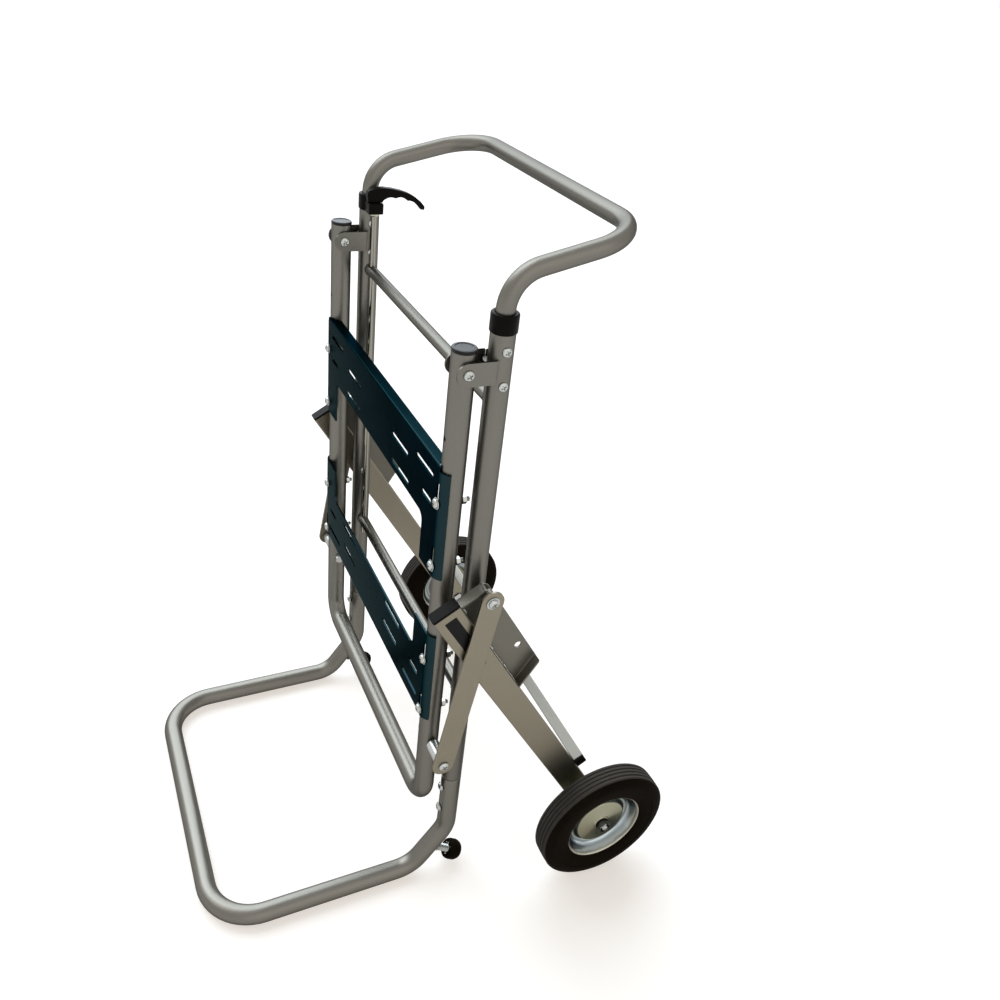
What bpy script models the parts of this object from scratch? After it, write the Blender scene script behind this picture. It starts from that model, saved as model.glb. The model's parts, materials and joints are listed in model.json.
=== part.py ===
"""Folding wheeled stand for a bench saw, stood up on its wheels with the tool frame folded shut.

Metres, +Z up. X runs across the stand, -Y is the side that the tool hangs on, and +Y is the side
of the person who pushes it. The origin lies on the floor, midway between the front of the base
and the back of the wheels. Each body that moves hangs from an empty on its joint's axis.
"""

import math

import bmesh
import bpy
from mathutils import Matrix, Vector

for old in list(bpy.data.objects):
    bpy.data.objects.remove(old)

# Shared by every piece
GAP = 0.0003  # between pieces that touch
OVERRUN = 0.002  # how far a cutter runs past the face that it opens
TUBE_SIDES = 12
BOLT_SIDES = 12
WHEEL_SIDES = 24
BEND_STEP = math.radians(31)
RIGHT, LEFT = 1, -1
SIDES = (("right", RIGHT), ("left", LEFT))

# Frame tube and sheet
TUBE_R = 0.014
TUBE_WALL = 0.0015
SHEET = 0.0025

# Overall places
UPRIGHT_X = 0.2235
TOOL_X = 0.2205
TOOL_AHEAD = 0.041  # tool frame ahead of the uprights
WHEEL_R = 0.1016
WHEEL_WIDTH = 0.0396
WHEEL_X = 0.3054
AXLE_BACK = 0.2177
BASE_REACH = 0.341
UPRIGHT_Y = (BASE_REACH + TUBE_R - AXLE_BACK - WHEEL_R) / 2
TOOL_Y = UPRIGHT_Y - TOOL_AHEAD

# Folding linkage
FOLD = math.radians(35.7)  # swing of the tool frame when the stand is open
HINGE_Z = 0.834
LINK_LOW_Z = 0.287
LINK_TOP_Z = 0.553
LINK_TOP_BACK = 0.001  # upper link pivot behind the uprights
LEG_PIVOT_Z = 0.4533

# Uprights
UPRIGHT_TOP = 0.8744
SEAM_Z = 0.197
SWAGE_STEP = 0.004
SWAGE_END = 0.115
CROSS_R = 0.008
CROSS_WALL = 0.0012
CROSS_TOP_Z = 0.791
CROSS_LOW_Z = 0.359
WELD_GAP = GAP

# Base
BASE_CORNER_R = 0.07
BASE_BEND_R = 0.045
SLANT_TOP_Z = 0.086
SLANT_DROP = SLANT_TOP_Z - TUBE_R
SLANT_RUN = SLANT_DROP * math.tan(FOLD)
SLANT_LENGTH = SLANT_DROP / math.cos(FOLD)

# Handle
HANDLE_R = 0.0107
HANDLE_WALL = 0.0015
HANDLE_IN = 0.0774  # the handle's reach down into the uprights
HANDLE_FOOT_Z = UPRIGHT_TOP - HANDLE_IN
HANDLE_KNEE_R = 0.046
HANDLE_STRAIGHT = 0.0016  # straight tube showing between the collar and the knee's bend
GRIP_BACK = 0.158
GRIP_UP = 0.0986  # above the uprights
GRIP_Z = UPRIGHT_TOP + GRIP_UP
GRIP_CORNER_R = 0.06
COLLAR_R = 0.0155
COLLAR_H = 0.0213
SLEEVE_DEPTH = 0.013
KNEE_START_Z = UPRIGHT_TOP + GAP + COLLAR_H + HANDLE_STRAIGHT
# The arm runs from the grip to touch the knee's bend, whose middle lies a radius behind the upright
GRIP_FROM_KNEE = Vector((GRIP_BACK - HANDLE_KNEE_R, GRIP_Z - KNEE_START_Z))
ARM_RISE = math.atan2(GRIP_FROM_KNEE.y, GRIP_FROM_KNEE.x) - math.asin(HANDLE_KNEE_R / GRIP_FROM_KNEE.length)
HANDLE_KNEE_Z = KNEE_START_Z + HANDLE_KNEE_R * math.tan((math.pi / 2 - ARM_RISE) / 2)

# Clevis
CLEVIS_SHEET = 0.003
CLEVIS_CLEAR = 0.0006
CLEVIS_NOSE = 0.0135
CLEVIS_WEB_UP = 0.0075  # the web's top above the hinge, low enough for the tube to swing over it

# Tool frame tube
TOOL_TOP_Z = 0.855
TOOL_LOW_Z = 0.160
TOOL_CORNER_R = 0.035
CAP_H = 0.004
CAP_RIM = 0.0003
CAP_PLUG_DEPTH = 0.010

# Brackets
RAIL_EDGE_TOP_Z = 0.718
RAIL_EDGE_LOW_Z = 0.3335
RAIL_H = 0.088
BRACKET_H = 0.152
LOWER_BRACKET_H = 0.1425
TAB_RELIEF = 0.0065  # the upper bracket's wraps start this far below its flange
TAB_RELIEF_OUT = 0.001  # outboard of the tube's axis, where the relief begins
BRACKET_FLANGE = 0.014
BRACKET_TAB = 0.040  # width of each end tab, inwards from the tube's axis
WRAP_ANGLE = math.radians(60)
WRAP_STEPS = 4
FLANGE_STOP = 0.0176  # the mitred flange's back edge ends this far short of the tube's axis
SLOT_W = 0.0066
BOLT_SLOT_UP = 0.028
UPPER_BOLT_TOP_Z = 0.669
UPPER_BOLT_LOW_Z = 0.581
LOWER_BOLT_TOP_Z = 0.4325
LOWER_BOLT_LOW_Z = 0.345
BRACKET_BOLTS = {
    "upper": (UPPER_BOLT_TOP_Z, UPPER_BOLT_LOW_Z),
    "lower": (LOWER_BOLT_TOP_Z, LOWER_BOLT_LOW_Z),
}
# Long slots: start and end as shares of the tube's X, and depth as a share of the rail's height
SLOT_SHARES = ((0.288, 0.562, 0.455), (0.671, 0.930, 0.255), (0.300, 0.594, 0.865), (0.780, 0.925, 0.660))

# Wheel legs
LEG_OUT_X = 0.270
LEG_THICK = 0.018
LEG_WIDTH = 0.038
LEG_WALL = 0.0015
LEG_TOP = 0.1024  # past the pivot, up the leg
LEG_PAST_AXLE = 0.018
LEG_CAP_H = 0.003
PLATE_LENGTH = 0.1873  # beside the leg
PLATE_REACH = 0.061  # from the leg's axis
PLATE_LEAN_SHARE = 0.5  # how far the lower edge rises for each step away from the leg
PLATE_FLANGE = 0.0165
PLATE_HOLE_R = 0.004
PLATE_HOLE_ALONG = 0.0282
PLATE_HOLE_ACROSS = 0.0492
WELD_NUT_R = 0.008
WELD_NUT_H = 0.006
SPREADER = 0.016
SPREADER_UP = 0.107  # above the axle, along the leg

# Links
LINK_WIDTH = 0.030
LINK_THICK = 0.004
LINK_END_STEPS = 8

# Fasteners
SCREW_R = 0.003
SCREW_HEAD_R = 0.0055
SCREW_HEAD_H = 0.0018
BRACKET_HEAD_R = 0.0066
BRACKET_HEAD_H = 0.0048
BASE_SCREW_LENGTH = 0.012
PIN_R = 0.004
PIN_HEAD_R = 0.0075
PIN_HEAD_H = 0.0040
LOW_HEAD_H = 0.0022
AXLE_R = 0.006
NUT_SHARE = 1.75  # a nut's corner radius, as a share of its bolt's radius
NUT_H_SHARE = 0.8
RUNNING = 0.0001
HANDLE_SCREW_TOP_DOWN = 0.0179  # below the uprights' top
HANDLE_SCREW_LOW_DOWN = 0.0574
HANDLE_SCREW_TOP_Z = UPRIGHT_TOP - HANDLE_SCREW_TOP_DOWN
HANDLE_SCREW_LOW_Z = UPRIGHT_TOP - HANDLE_SCREW_LOW_DOWN
HANDLE_SCREWS = (HANDLE_SCREW_TOP_Z, HANDLE_SCREW_LOW_Z)
BASE_SCREW_TOP_Z = 0.176
BASE_SCREW_LOW_Z = 0.132
BASE_SCREWS = (BASE_SCREW_TOP_Z, BASE_SCREW_LOW_Z)
SPACER_R = 0.009
SHOULDER_R = 0.008

# Wheels
RIM_LIP_R = 0.0610
RIM_BARREL_R = 0.0565
RIM_SHEET = 0.002
RIM_HALF = 0.0160
RIM_DISC_OUT = 0.0060  # disc's outer face, outboard of the wheel's middle
HUB_R = 0.012
HUB_OUT = 0.0120
TREAD_HALF = 0.0120
SHOULDER_DROP = 0.0040

# Levelling feet
STUD_R = 0.005
STUD_IN = 0.004  # how far the stud reaches past the tube's axis
STUD_NUT_R = 0.0095
STUD_NUT_H = 0.007
PAD_R = 0.0155
PAD_H = 0.019
FOOT_REACH = 0.0595  # from the slanted tube's axis to the foot's face

# Release lever and rod
ROD_R = 0.004
ROD_CLEAR = 0.0012  # between the rod and the heads of the handle screws
ROD_OFFSET = TUBE_R + SCREW_HEAD_H + ROD_R + ROD_CLEAR
ROD_X = -UPRIGHT_X + ROD_OFFSET
ROD_LOW_Z = 0.335
HOUSING_R = 0.0115
HOUSING_UP = 0.0141  # above the uprights
ROD_PAST = 0.005  # the rod's end past the housing
HOUSING_TOP_Z = UPRIGHT_TOP + HOUSING_UP
ROD_TOP_Z = HOUSING_TOP_Z + ROD_PAST
LEVER_GAP = 0.0010
LEVER_HALF = 0.0050
LEVER_REACH = 0.0725  # from the rod to the tip
LEVER_RISE = 0.0205  # above the housing
LEVER_PIN_R = 0.00125
LEVER_PIN_AHEAD = 0.009  # of the rod
LEVER_PIN_UP = 0.004  # above the housing
LEVER_HUB_STEPS = 3
LUG_HALF = 0.0015
LUG_R = 0.0028
NECK_R = 0.0015
NECK_LENGTH = 0.010
LEVER_SLOT_H = 0.0085
LEVER_SLOT_BACK = 0.006
GRIP_GROOVES = 3
GROOVE_POINTS = 4
GROOVE_DEPTH = 0.0022
GROOVE_ARCH = 0.0065  # rise of the underside's middle above the line between its ends

# Colours: base colour, roughness, metallic
FINISHES = {
    "silver_paint": ((0.42, 0.41, 0.39), 0.38, 0.55),
    "teal_paint": ((0.015, 0.035, 0.045), 0.35, 0.3),
    "black_plastic": ((0.012, 0.012, 0.013), 0.55, 0.0),
    "zinc": ((0.66, 0.66, 0.62), 0.28, 1.0),
    "zinc_yellow": ((0.62, 0.61, 0.50), 0.32, 1.0),
    "chrome": ((0.75, 0.75, 0.74), 0.12, 1.0),
    "rubber": ((0.015, 0.014, 0.014), 0.75, 0.0),
}


def point(x, y, z):
    return Vector((x, y, z))


X_AXIS = point(1, 0, 0)
Y_AXIS = point(0, 1, 0)
Z_AXIS = point(0, 0, 1)

# Joint places
HINGE = point(0, TOOL_Y, HINGE_Z)
LINK_LOW = point(0, TOOL_Y, LINK_LOW_Z)
LINK_TOP = point(0, UPRIGHT_Y + LINK_TOP_BACK, LINK_TOP_Z)
LEG_PIVOT = point(0, UPRIGHT_Y, LEG_PIVOT_Z)
AXLE = point(0, UPRIGHT_Y + AXLE_BACK, WHEEL_R)
LEG_DOWN = (AXLE - LEG_PIVOT).normalized()
LEG_ACROSS = point(0, -LEG_DOWN.z, LEG_DOWN.y)
LEG_TO_AXLE = (AXLE - LEG_PIVOT).length
FOOT_DOWN = point(0, math.cos(FOLD), -math.sin(FOLD))
SLANT_DOWN = point(0, -math.sin(FOLD), -math.cos(FOLD))
SLANT_MIDDLE = point(0, UPRIGHT_Y, SLANT_TOP_Z) + SLANT_DOWN * (SLANT_LENGTH / 2)
LEVER_PIN = point(ROD_X, UPRIGHT_Y - LEVER_PIN_AHEAD, HOUSING_TOP_Z + LEVER_PIN_UP)

# Layers outboard of the leg
LINK_IN_X = LEG_OUT_X + GAP + LOW_HEAD_H + 2 * GAP
LINK_OUT_X = LINK_IN_X + LINK_THICK
LEG_IN_X = LEG_OUT_X - LEG_THICK
WEB_BACK_Y = TOOL_Y - TUBE_R - GAP
WEB_FRONT_Y = WEB_BACK_Y - SHEET


def leg_point(x, along, across):
    """A place on a leg: along it from the pivot towards the wheel, and across it from its axis."""
    return LEG_PIVOT + X_AXIS * x + LEG_DOWN * along + LEG_ACROSS * across


# Bodies

def body(name, place, parent=None):
    empty = bpy.data.objects.new(name, None)
    bpy.context.scene.collection.objects.link(empty)
    empty.parent = parent
    empty.location = place - (parent.matrix_world.translation if parent else Vector())
    bpy.context.view_layer.update()
    return empty


REAR = body("rear_frame_origin", Vector())
TOOL = body("tool_frame_hinge", HINGE, REAR)
LEGS = body("leg_hinge", LEG_PIVOT, REAR)
LINKS = {side: body(f"link_{side}_hinge", LINK_LOW + X_AXIS * LINK_IN_X * s, TOOL) for side, s in SIDES}
WHEELS = {side: body(f"wheel_{side}_spin", AXLE + X_AXIS * WHEEL_X * s, LEGS) for side, s in SIDES}
FEET = {side: body(f"foot_{side}_screw", SLANT_MIDDLE + X_AXIS * UPRIGHT_X * s, REAR) for side, s in SIDES}
LEVER = body("lever_hinge", LEVER_PIN, REAR)
ROD = body("rod_slide", point(ROD_X, UPRIGHT_Y, ROD_TOP_Z), REAR)


# Meshes

def finish_named(name):
    known = bpy.data.materials.get(name)
    if known:
        return known
    colour, roughness, metallic = FINISHES[name]
    made = bpy.data.materials.new(name)
    made.use_nodes = True
    shader = made.node_tree.nodes["Principled BSDF"]
    shader.inputs["Base Color"].default_value = (*colour, 1)
    shader.inputs["Roughness"].default_value = roughness
    shader.inputs["Metallic"].default_value = metallic
    made.diffuse_color = (*colour, 1)
    return made


def loft(mesh, rings, loop=False):
    """Skins rings of equal count in turn. The ends are capped, or joined where loop is set."""
    verts = [[mesh.verts.new(corner) for corner in ring] for ring in rings]
    count = len(verts[0])
    pairs = list(zip(verts, verts[1:]))
    if loop:
        pairs.append((verts[-1], verts[0]))
    for first, second in pairs:
        for k in range(count):
            after = (k + 1) % count
            mesh.faces.new((first[k], first[after], second[after], second[k]))
    if not loop:
        mesh.faces.new(verts[0][::-1])
        mesh.faces.new(verts[-1])
    return mesh


def across_of(direction):
    """Two unit vectors square to a direction, the first in a level or frame plane."""
    side = Z_AXIS if abs(direction.z) < 0.5 else X_AXIS
    first = (side - direction * side.dot(direction)).normalized()
    return first, direction.cross(first)


def ring_at(centre, first, second, radii):
    """A ring of corners round a centre. With radii alternating it is a hexagon."""
    count = len(radii)
    turns = [2 * math.pi * k / count for k in range(count)]
    return [centre + (first * math.cos(a) + second * math.sin(a)) * r for a, r in zip(turns, radii)]


def turned(mesh, base, axis, profile, sides, loop=False):
    """Turns (radius, height) pairs round an axis. A pair with a third item is a hexagon's ring."""
    axis = axis.normalized()
    first, second = across_of(axis)
    rings = []
    for radius, height, *hexagon in profile:
        flat = radius * math.cos(math.pi / 6) if hexagon else radius
        radii = [radius if k % 2 == 0 else flat for k in range(sides)]
        rings.append(ring_at(base + axis * height, first, second, radii))
    return loft(mesh, rings, loop)


def rounded_path(corners, radii):
    """The corners joined by straight runs, with an arc of its radius at each inner corner."""
    path = [corners[0]]
    for before, corner, after, radius in zip(corners, corners[1:], corners[2:], radii):
        back = (before - corner).normalized()
        ahead = (after - corner).normalized()
        inside = back.angle(ahead)
        turn = math.pi - inside
        middle = corner + (back + ahead).normalized() * radius / math.sin(inside / 2)
        start = corner + back * radius / math.tan(inside / 2) - middle
        axis = (-back).cross(ahead).normalized()
        steps = math.ceil(turn / BEND_STEP)
        path += [middle + Matrix.Rotation(turn * k / steps, 3, axis) @ start for k in range(steps + 1)]
    return path + [corners[-1]]


def swept(mesh, path, outer, inner):
    """A tube along a path, its section carried from point to point without twist."""
    runs = [(b - a).normalized() for a, b in zip(path, path[1:])]
    tangents = [runs[0]] + [(a + b).normalized() for a, b in zip(runs, runs[1:])] + [runs[-1]]
    first = across_of(tangents[0])[0]
    rings = {outer: [], inner: []}
    for k, (place, tangent) in enumerate(zip(path, tangents)):
        if k:
            first = tangents[k - 1].rotation_difference(tangent) @ first
        second = tangent.cross(first)
        for radius in rings:
            rings[radius].append(ring_at(place, first, second, [radius] * TUBE_SIDES))
    return loft(mesh, rings[outer] + rings[inner][::-1], loop=True)


def prism(mesh, outline, place, low, high):
    """An outline of (u, v) pairs drawn out from low to high; place(u, v, w) gives each corner."""
    return loft(mesh, [[place(u, v, w) for u, v in outline] for w in (low, high)])


def box(mesh, low, high):
    outline = ((low[0], low[1]), (high[0], low[1]), (high[0], high[1]), (low[0], high[1]))
    return prism(mesh, outline, point, low[2], high[2])


def rod_between(mesh, start, end, radius, sides=TUBE_SIDES):
    return turned(mesh, start, end - start, ((radius, 0), (radius, (end - start).length)), sides)


def part(name, mesh, finish, parent=REAR, smooth_angle=35):
    """Makes the object: its origin on its body's joint, its faces pointing out, round faces smooth."""
    bmesh.ops.recalc_face_normals(mesh, faces=mesh.faces)
    bmesh.ops.translate(mesh, verts=mesh.verts, vec=-parent.matrix_world.translation)
    data = bpy.data.meshes.new(name)
    mesh.to_mesh(data)
    mesh.free()
    data.shade_smooth()
    data.set_sharp_from_angle(angle=math.radians(smooth_angle))
    data.materials.append(finish_named(finish))
    made = bpy.data.objects.new(name, data)
    made.parent = parent
    bpy.context.scene.collection.objects.link(made)
    return made


def shaped(target, operation, mesh):
    """Cuts a mesh out of an object, or joins it on, and keeps the tool as a hidden guide."""
    tool = part(f"{target.name}_{operation.lower()}", mesh, target.data.materials[0].name, target.parent)
    tool.hide_render = True
    tool.display_type = "WIRE"
    modifier = target.modifiers.new(operation.title(), "BOOLEAN")
    modifier.operation = operation
    modifier.object = tool
    modifier.solver = "EXACT"


def drilled(target, bores):
    """Opens round holes, each given as start, end and radius."""
    mesh = bmesh.new()
    for start, end, radius in bores:
        rod_between(mesh, start, end, radius, BOLT_SIDES)
    shaped(target, "DIFFERENCE", mesh)


def bolt(name, start, axis, grip, radius, head_r, head_h, parent=REAR, nut=True, finish="zinc"):
    """A bolt whose head seats at start, with the grip between head and nut, and its nut on it."""
    profile = [(head_r * 0.72, -head_h), (head_r, 0), (radius, 0), (radius, grip)]
    if nut:
        corner = radius * NUT_SHARE
        height = radius * 2 * NUT_H_SHARE
        profile += [(corner, grip, "hexagon"), (corner, grip + height, "hexagon"), (radius, grip + height)]
    return part(name, turned(bmesh.new(), start, axis, profile, BOLT_SIDES), finish, parent)


# Rear frame: what stands on the floor and carries the handle

def make_upright(side, s):
    swage_r = TUBE_R - TUBE_WALL - GAP
    seam = SEAM_Z + GAP
    profile = (
        (TUBE_R, UPRIGHT_TOP),
        (TUBE_R, seam),
        (swage_r, seam),
        (swage_r, SWAGE_END),
        (swage_r - TUBE_WALL, SWAGE_END),
        (swage_r - TUBE_WALL, seam + SWAGE_STEP),
        (TUBE_R - TUBE_WALL, seam + 2 * SWAGE_STEP),
        (TUBE_R - TUBE_WALL, UPRIGHT_TOP),
    )
    foot = point(UPRIGHT_X * s, UPRIGHT_Y, 0)
    mesh = turned(bmesh.new(), foot, Z_AXIS, profile, TUBE_SIDES, loop=True)
    upright = part(f"upright_{side}", mesh, "silver_paint")
    reach = TUBE_R + OVERRUN
    bores = [across_hole(foot + Z_AXIS * z, X_AXIS, reach, SCREW_R + GAP) for z in HANDLE_SCREWS]
    bores += front_bores(foot)
    bores.append(across_hole(LEG_PIVOT + X_AXIS * UPRIGHT_X * s, X_AXIS, reach, PIN_R + GAP))
    drilled(upright, bores)


def across_hole(middle, axis, reach, radius):
    return middle - axis * reach, middle + axis * reach, radius


def front_bores(foot):
    """The holes of the base screws, through the front walls alone."""
    outside = Y_AXIS * (TUBE_R + OVERRUN)
    return [(foot + Z_AXIS * z - outside, foot + Z_AXIS * z, SCREW_R + GAP) for z in BASE_SCREWS]


def make_cross_tube(name, height):
    """A round tube between the uprights, with a hole down through it for the release rod."""
    half = UPRIGHT_X - TUBE_R - WELD_GAP
    ends = [point(x, UPRIGHT_Y, height) for x in (-half, half)]
    cross_tube = part(name, swept(bmesh.new(), ends, CROSS_R, CROSS_R - CROSS_WALL), "silver_paint")
    middle = point(ROD_X, UPRIGHT_Y, height)
    drilled(cross_tube, [across_hole(middle, Z_AXIS, CROSS_R + OVERRUN, ROD_R + GAP)])


def make_clevis(side, s):
    """A folded channel: its web stands against the upright, its ears hold the tool frame's hinge."""
    half_in = TUBE_R + CLEVIS_CLEAR
    half_out = half_in + CLEVIS_SHEET
    back = UPRIGHT_Y - TUBE_R - GAP
    web_front = back - CLEVIS_SHEET
    middle = TOOL_X * s
    nose = TOOL_Y
    outline = (
        (middle - half_out, back), (middle + half_out, back), (middle + half_out, nose),
        (middle + half_in, nose), (middle + half_in, web_front), (middle - half_in, web_front),
        (middle - half_in, nose), (middle - half_out, nose),
    )
    mesh = prism(bmesh.new(), outline, point, HINGE_Z - CLEVIS_NOSE, HINGE_Z + CLEVIS_NOSE)
    clevis = part(f"clevis_{side}", mesh, "silver_paint")
    rounds = bmesh.new()
    for low in (-half_out, half_in):
        start = HINGE + X_AXIS * (middle + low)
        rod_between(rounds, start, start + X_AXIS * CLEVIS_SHEET, CLEVIS_NOSE, TUBE_SIDES * 2)
    shaped(clevis, "UNION", rounds)
    side_reach = half_out + OVERRUN
    low = point(middle - side_reach, web_front - GAP, HINGE_Z + CLEVIS_WEB_UP)
    high = point(middle + side_reach, back + OVERRUN, HINGE_Z + CLEVIS_NOSE + OVERRUN)
    shaped(clevis, "DIFFERENCE", box(bmesh.new(), low, high))
    drilled(clevis, [across_hole(HINGE + X_AXIS * middle, X_AXIS, side_reach, SCREW_R + RUNNING)])


def base_path():
    """The base tube's line: down from one upright, out along the floor, and back to the other."""
    half = []
    for s in (RIGHT, LEFT):
        x = UPRIGHT_X * s
        half.append([
            point(x, UPRIGHT_Y, SEAM_Z),
            point(x, UPRIGHT_Y, SLANT_TOP_Z),
            point(x, UPRIGHT_Y - SLANT_RUN, TUBE_R),
            point(x, UPRIGHT_Y - BASE_REACH, TUBE_R),
        ])
    return half[0] + half[1][::-1]


def make_base():
    radii = (BASE_BEND_R, BASE_BEND_R, BASE_CORNER_R, BASE_CORNER_R, BASE_BEND_R, BASE_BEND_R)
    path = rounded_path(base_path(), radii)
    base = part("base_tube", swept(bmesh.new(), path, TUBE_R, TUBE_R - TUBE_WALL), "silver_paint")
    bores = []
    for side, s in SIDES:
        foot = point(UPRIGHT_X * s, UPRIGHT_Y, 0)
        bores += front_bores(foot)
        start = SLANT_MIDDLE + X_AXIS * UPRIGHT_X * s
        bores.append((start, start + FOOT_DOWN * (TUBE_R + OVERRUN), STUD_R + GAP))
    drilled(base, bores)


def make_handle():
    half = []
    for s in (RIGHT, LEFT):
        x = UPRIGHT_X * s
        half.append([
            point(x, UPRIGHT_Y, HANDLE_FOOT_Z),
            point(x, UPRIGHT_Y, HANDLE_KNEE_Z),
            point(x, UPRIGHT_Y + GRIP_BACK, GRIP_Z),
        ])
    corners = half[0] + half[1][::-1]
    path = rounded_path(corners, (HANDLE_KNEE_R, GRIP_CORNER_R, GRIP_CORNER_R, HANDLE_KNEE_R))
    handle = part("push_handle", swept(bmesh.new(), path, HANDLE_R, HANDLE_R - HANDLE_WALL), "silver_paint")
    reach = HANDLE_R + OVERRUN
    bores = []
    for side, s in SIDES:
        foot = point(UPRIGHT_X * s, UPRIGHT_Y, 0)
        bores += [across_hole(foot + Z_AXIS * z, X_AXIS, reach, SCREW_R + GAP) for z in HANDLE_SCREWS]
    drilled(handle, bores)


def make_collar(side, s):
    """A black bush round the handle tube, on top of the upright, with a sleeve inside it."""
    bore = HANDLE_R + GAP
    sleeve = TUBE_R - TUBE_WALL - GAP
    bottom = UPRIGHT_TOP + GAP
    profile = (
        (COLLAR_R, bottom), (COLLAR_R, bottom + COLLAR_H), (bore, bottom + COLLAR_H),
        (bore, bottom - SLEEVE_DEPTH), (sleeve, bottom - SLEEVE_DEPTH), (sleeve, bottom),
    )
    foot = point(UPRIGHT_X * s, UPRIGHT_Y, 0)
    mesh = turned(bmesh.new(), foot, Z_AXIS, profile, TUBE_SIDES, loop=True)
    return part(f"collar_{side}", mesh, "black_plastic")


def add_lever_housing(collar):
    """The left collar also holds the release rod and the lever's hinge lug beside the tube."""
    rod_foot = point(ROD_X, UPRIGHT_Y, 0)
    bottom = UPRIGHT_TOP + GAP
    housing = turned(
        bmesh.new(), rod_foot, Z_AXIS, ((HOUSING_R, bottom), (HOUSING_R, HOUSING_TOP_Z)), TUBE_SIDES * 2
    )
    shaped(collar, "UNION", housing)
    lug = bmesh.new()
    lug_end = X_AXIS * LUG_HALF
    rod_between(lug, LEVER_PIN - lug_end, LEVER_PIN + lug_end, LUG_R)
    low = point(ROD_X - LUG_HALF, LEVER_PIN.y - LUG_R * 0.8, HOUSING_TOP_Z - SHEET)
    high = point(ROD_X + LUG_HALF, LEVER_PIN.y + LUG_R * 0.8, LEVER_PIN.z)
    web = box(bmesh.new(), low, high)
    shaped(collar, "UNION", web)
    collar.modifiers[-1].object.name = "collar_left_lug_web"
    shaped(collar, "UNION", lug)
    bores = [
        (rod_foot + Z_AXIS * (bottom - OVERRUN), rod_foot + Z_AXIS * (HOUSING_TOP_Z + OVERRUN), ROD_R + GAP),
        across_hole(LEVER_PIN, X_AXIS, LUG_HALF + OVERRUN, LEVER_PIN_R + RUNNING),
        (
            point(-UPRIGHT_X, UPRIGHT_Y, bottom - OVERRUN),
            point(-UPRIGHT_X, UPRIGHT_Y, bottom + COLLAR_H + OVERRUN),
            HANDLE_R + GAP,
        ),
    ]
    drilled(collar, bores)


def make_rear_fasteners():
    for side, s in SIDES:
        foot = point(UPRIGHT_X * s, UPRIGHT_Y, 0)
        seat = TUBE_R + GAP
        for place, z in zip(("upper", "lower"), HANDLE_SCREWS):
            start = foot + Z_AXIS * z + X_AXIS * seat
            name = f"handle_screw_{side}_{place}"
            bolt(name, start, -X_AXIS, 2 * seat, SCREW_R, SCREW_HEAD_R, SCREW_HEAD_H)
        for place, z in zip(("upper", "lower"), BASE_SCREWS):
            start = foot + Z_AXIS * z - Y_AXIS * seat
            bolt(
                f"base_screw_{side}_{place}", start, Y_AXIS, BASE_SCREW_LENGTH,
                SCREW_R, SCREW_HEAD_R, SCREW_HEAD_H, nut=False,
            )
        make_leg_pivot(side, s)


def make_leg_pivot(side, s):
    """A shoulder pin: low head outside the leg, wide shoulder, and a low riveted head inside the upright."""
    out = X_AXIS * s
    start = LEG_PIVOT + out * (LEG_OUT_X + GAP)
    leg_end = LEG_THICK + 2 * GAP
    upright_face = LEG_OUT_X + GAP - UPRIGHT_X - TUBE_R - GAP
    far_face = upright_face + 2 * (TUBE_R + GAP)
    profile = (
        (PIN_HEAD_R * 0.8, -LOW_HEAD_H), (PIN_HEAD_R, 0), (PIN_R, 0), (PIN_R, leg_end),
        (SHOULDER_R, leg_end), (SHOULDER_R, upright_face), (PIN_R, upright_face), (PIN_R, far_face),
        (SCREW_HEAD_R, far_face), (SCREW_HEAD_R, far_face + SCREW_HEAD_H),
    )
    part(f"leg_pivot_bolt_{side}", turned(bmesh.new(), start, -out, profile, BOLT_SIDES), "zinc")


# Tool frame

def make_tool_tube():
    corners = [
        point(TOOL_X, TOOL_Y, TOOL_TOP_Z), point(TOOL_X, TOOL_Y, TOOL_LOW_Z),
        point(-TOOL_X, TOOL_Y, TOOL_LOW_Z), point(-TOOL_X, TOOL_Y, TOOL_TOP_Z),
    ]
    path = rounded_path(corners, (TOOL_CORNER_R, TOOL_CORNER_R))
    tube = part("tool_frame_tube", swept(bmesh.new(), path, TUBE_R, TUBE_R - TUBE_WALL), "silver_paint", TOOL)
    reach = TUBE_R + OVERRUN
    bores = []
    for side, s in SIDES:
        middle = point(TOOL_X * s, TOOL_Y, 0)
        bores.append(across_hole(middle + Z_AXIS * HINGE_Z, X_AXIS, reach, SCREW_R + RUNNING))
        bores.append(across_hole(middle + Z_AXIS * LINK_LOW_Z, X_AXIS, reach, PIN_R + GAP))
        for z in BRACKET_BOLTS["upper"] + BRACKET_BOLTS["lower"]:
            bores.append(across_hole(middle + Z_AXIS * z, Y_AXIS, reach, SCREW_R + GAP))
    drilled(tube, bores)


def make_tool_cap(side, s):
    plug = TUBE_R - TUBE_WALL - GAP
    top = TOOL_TOP_Z + GAP
    profile = (
        (plug, top - CAP_PLUG_DEPTH), (plug, top), (TUBE_R + CAP_RIM, top),
        (TUBE_R + CAP_RIM, top + CAP_H * 0.7), (TUBE_R - CAP_H * 0.3, top + CAP_H),
    )
    mesh = turned(bmesh.new(), point(TOOL_X * s, TOOL_Y, 0), Z_AXIS, profile, TUBE_SIDES)
    part(f"tube_cap_{side}", mesh, "black_plastic", TOOL)


def arc_points(centre, radius, start, end, steps):
    turns = [start + (end - start) * k / steps for k in range(steps + 1)]
    return [(centre[0] + radius * math.cos(a), centre[1] + radius * math.sin(a)) for a in turns]


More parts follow.
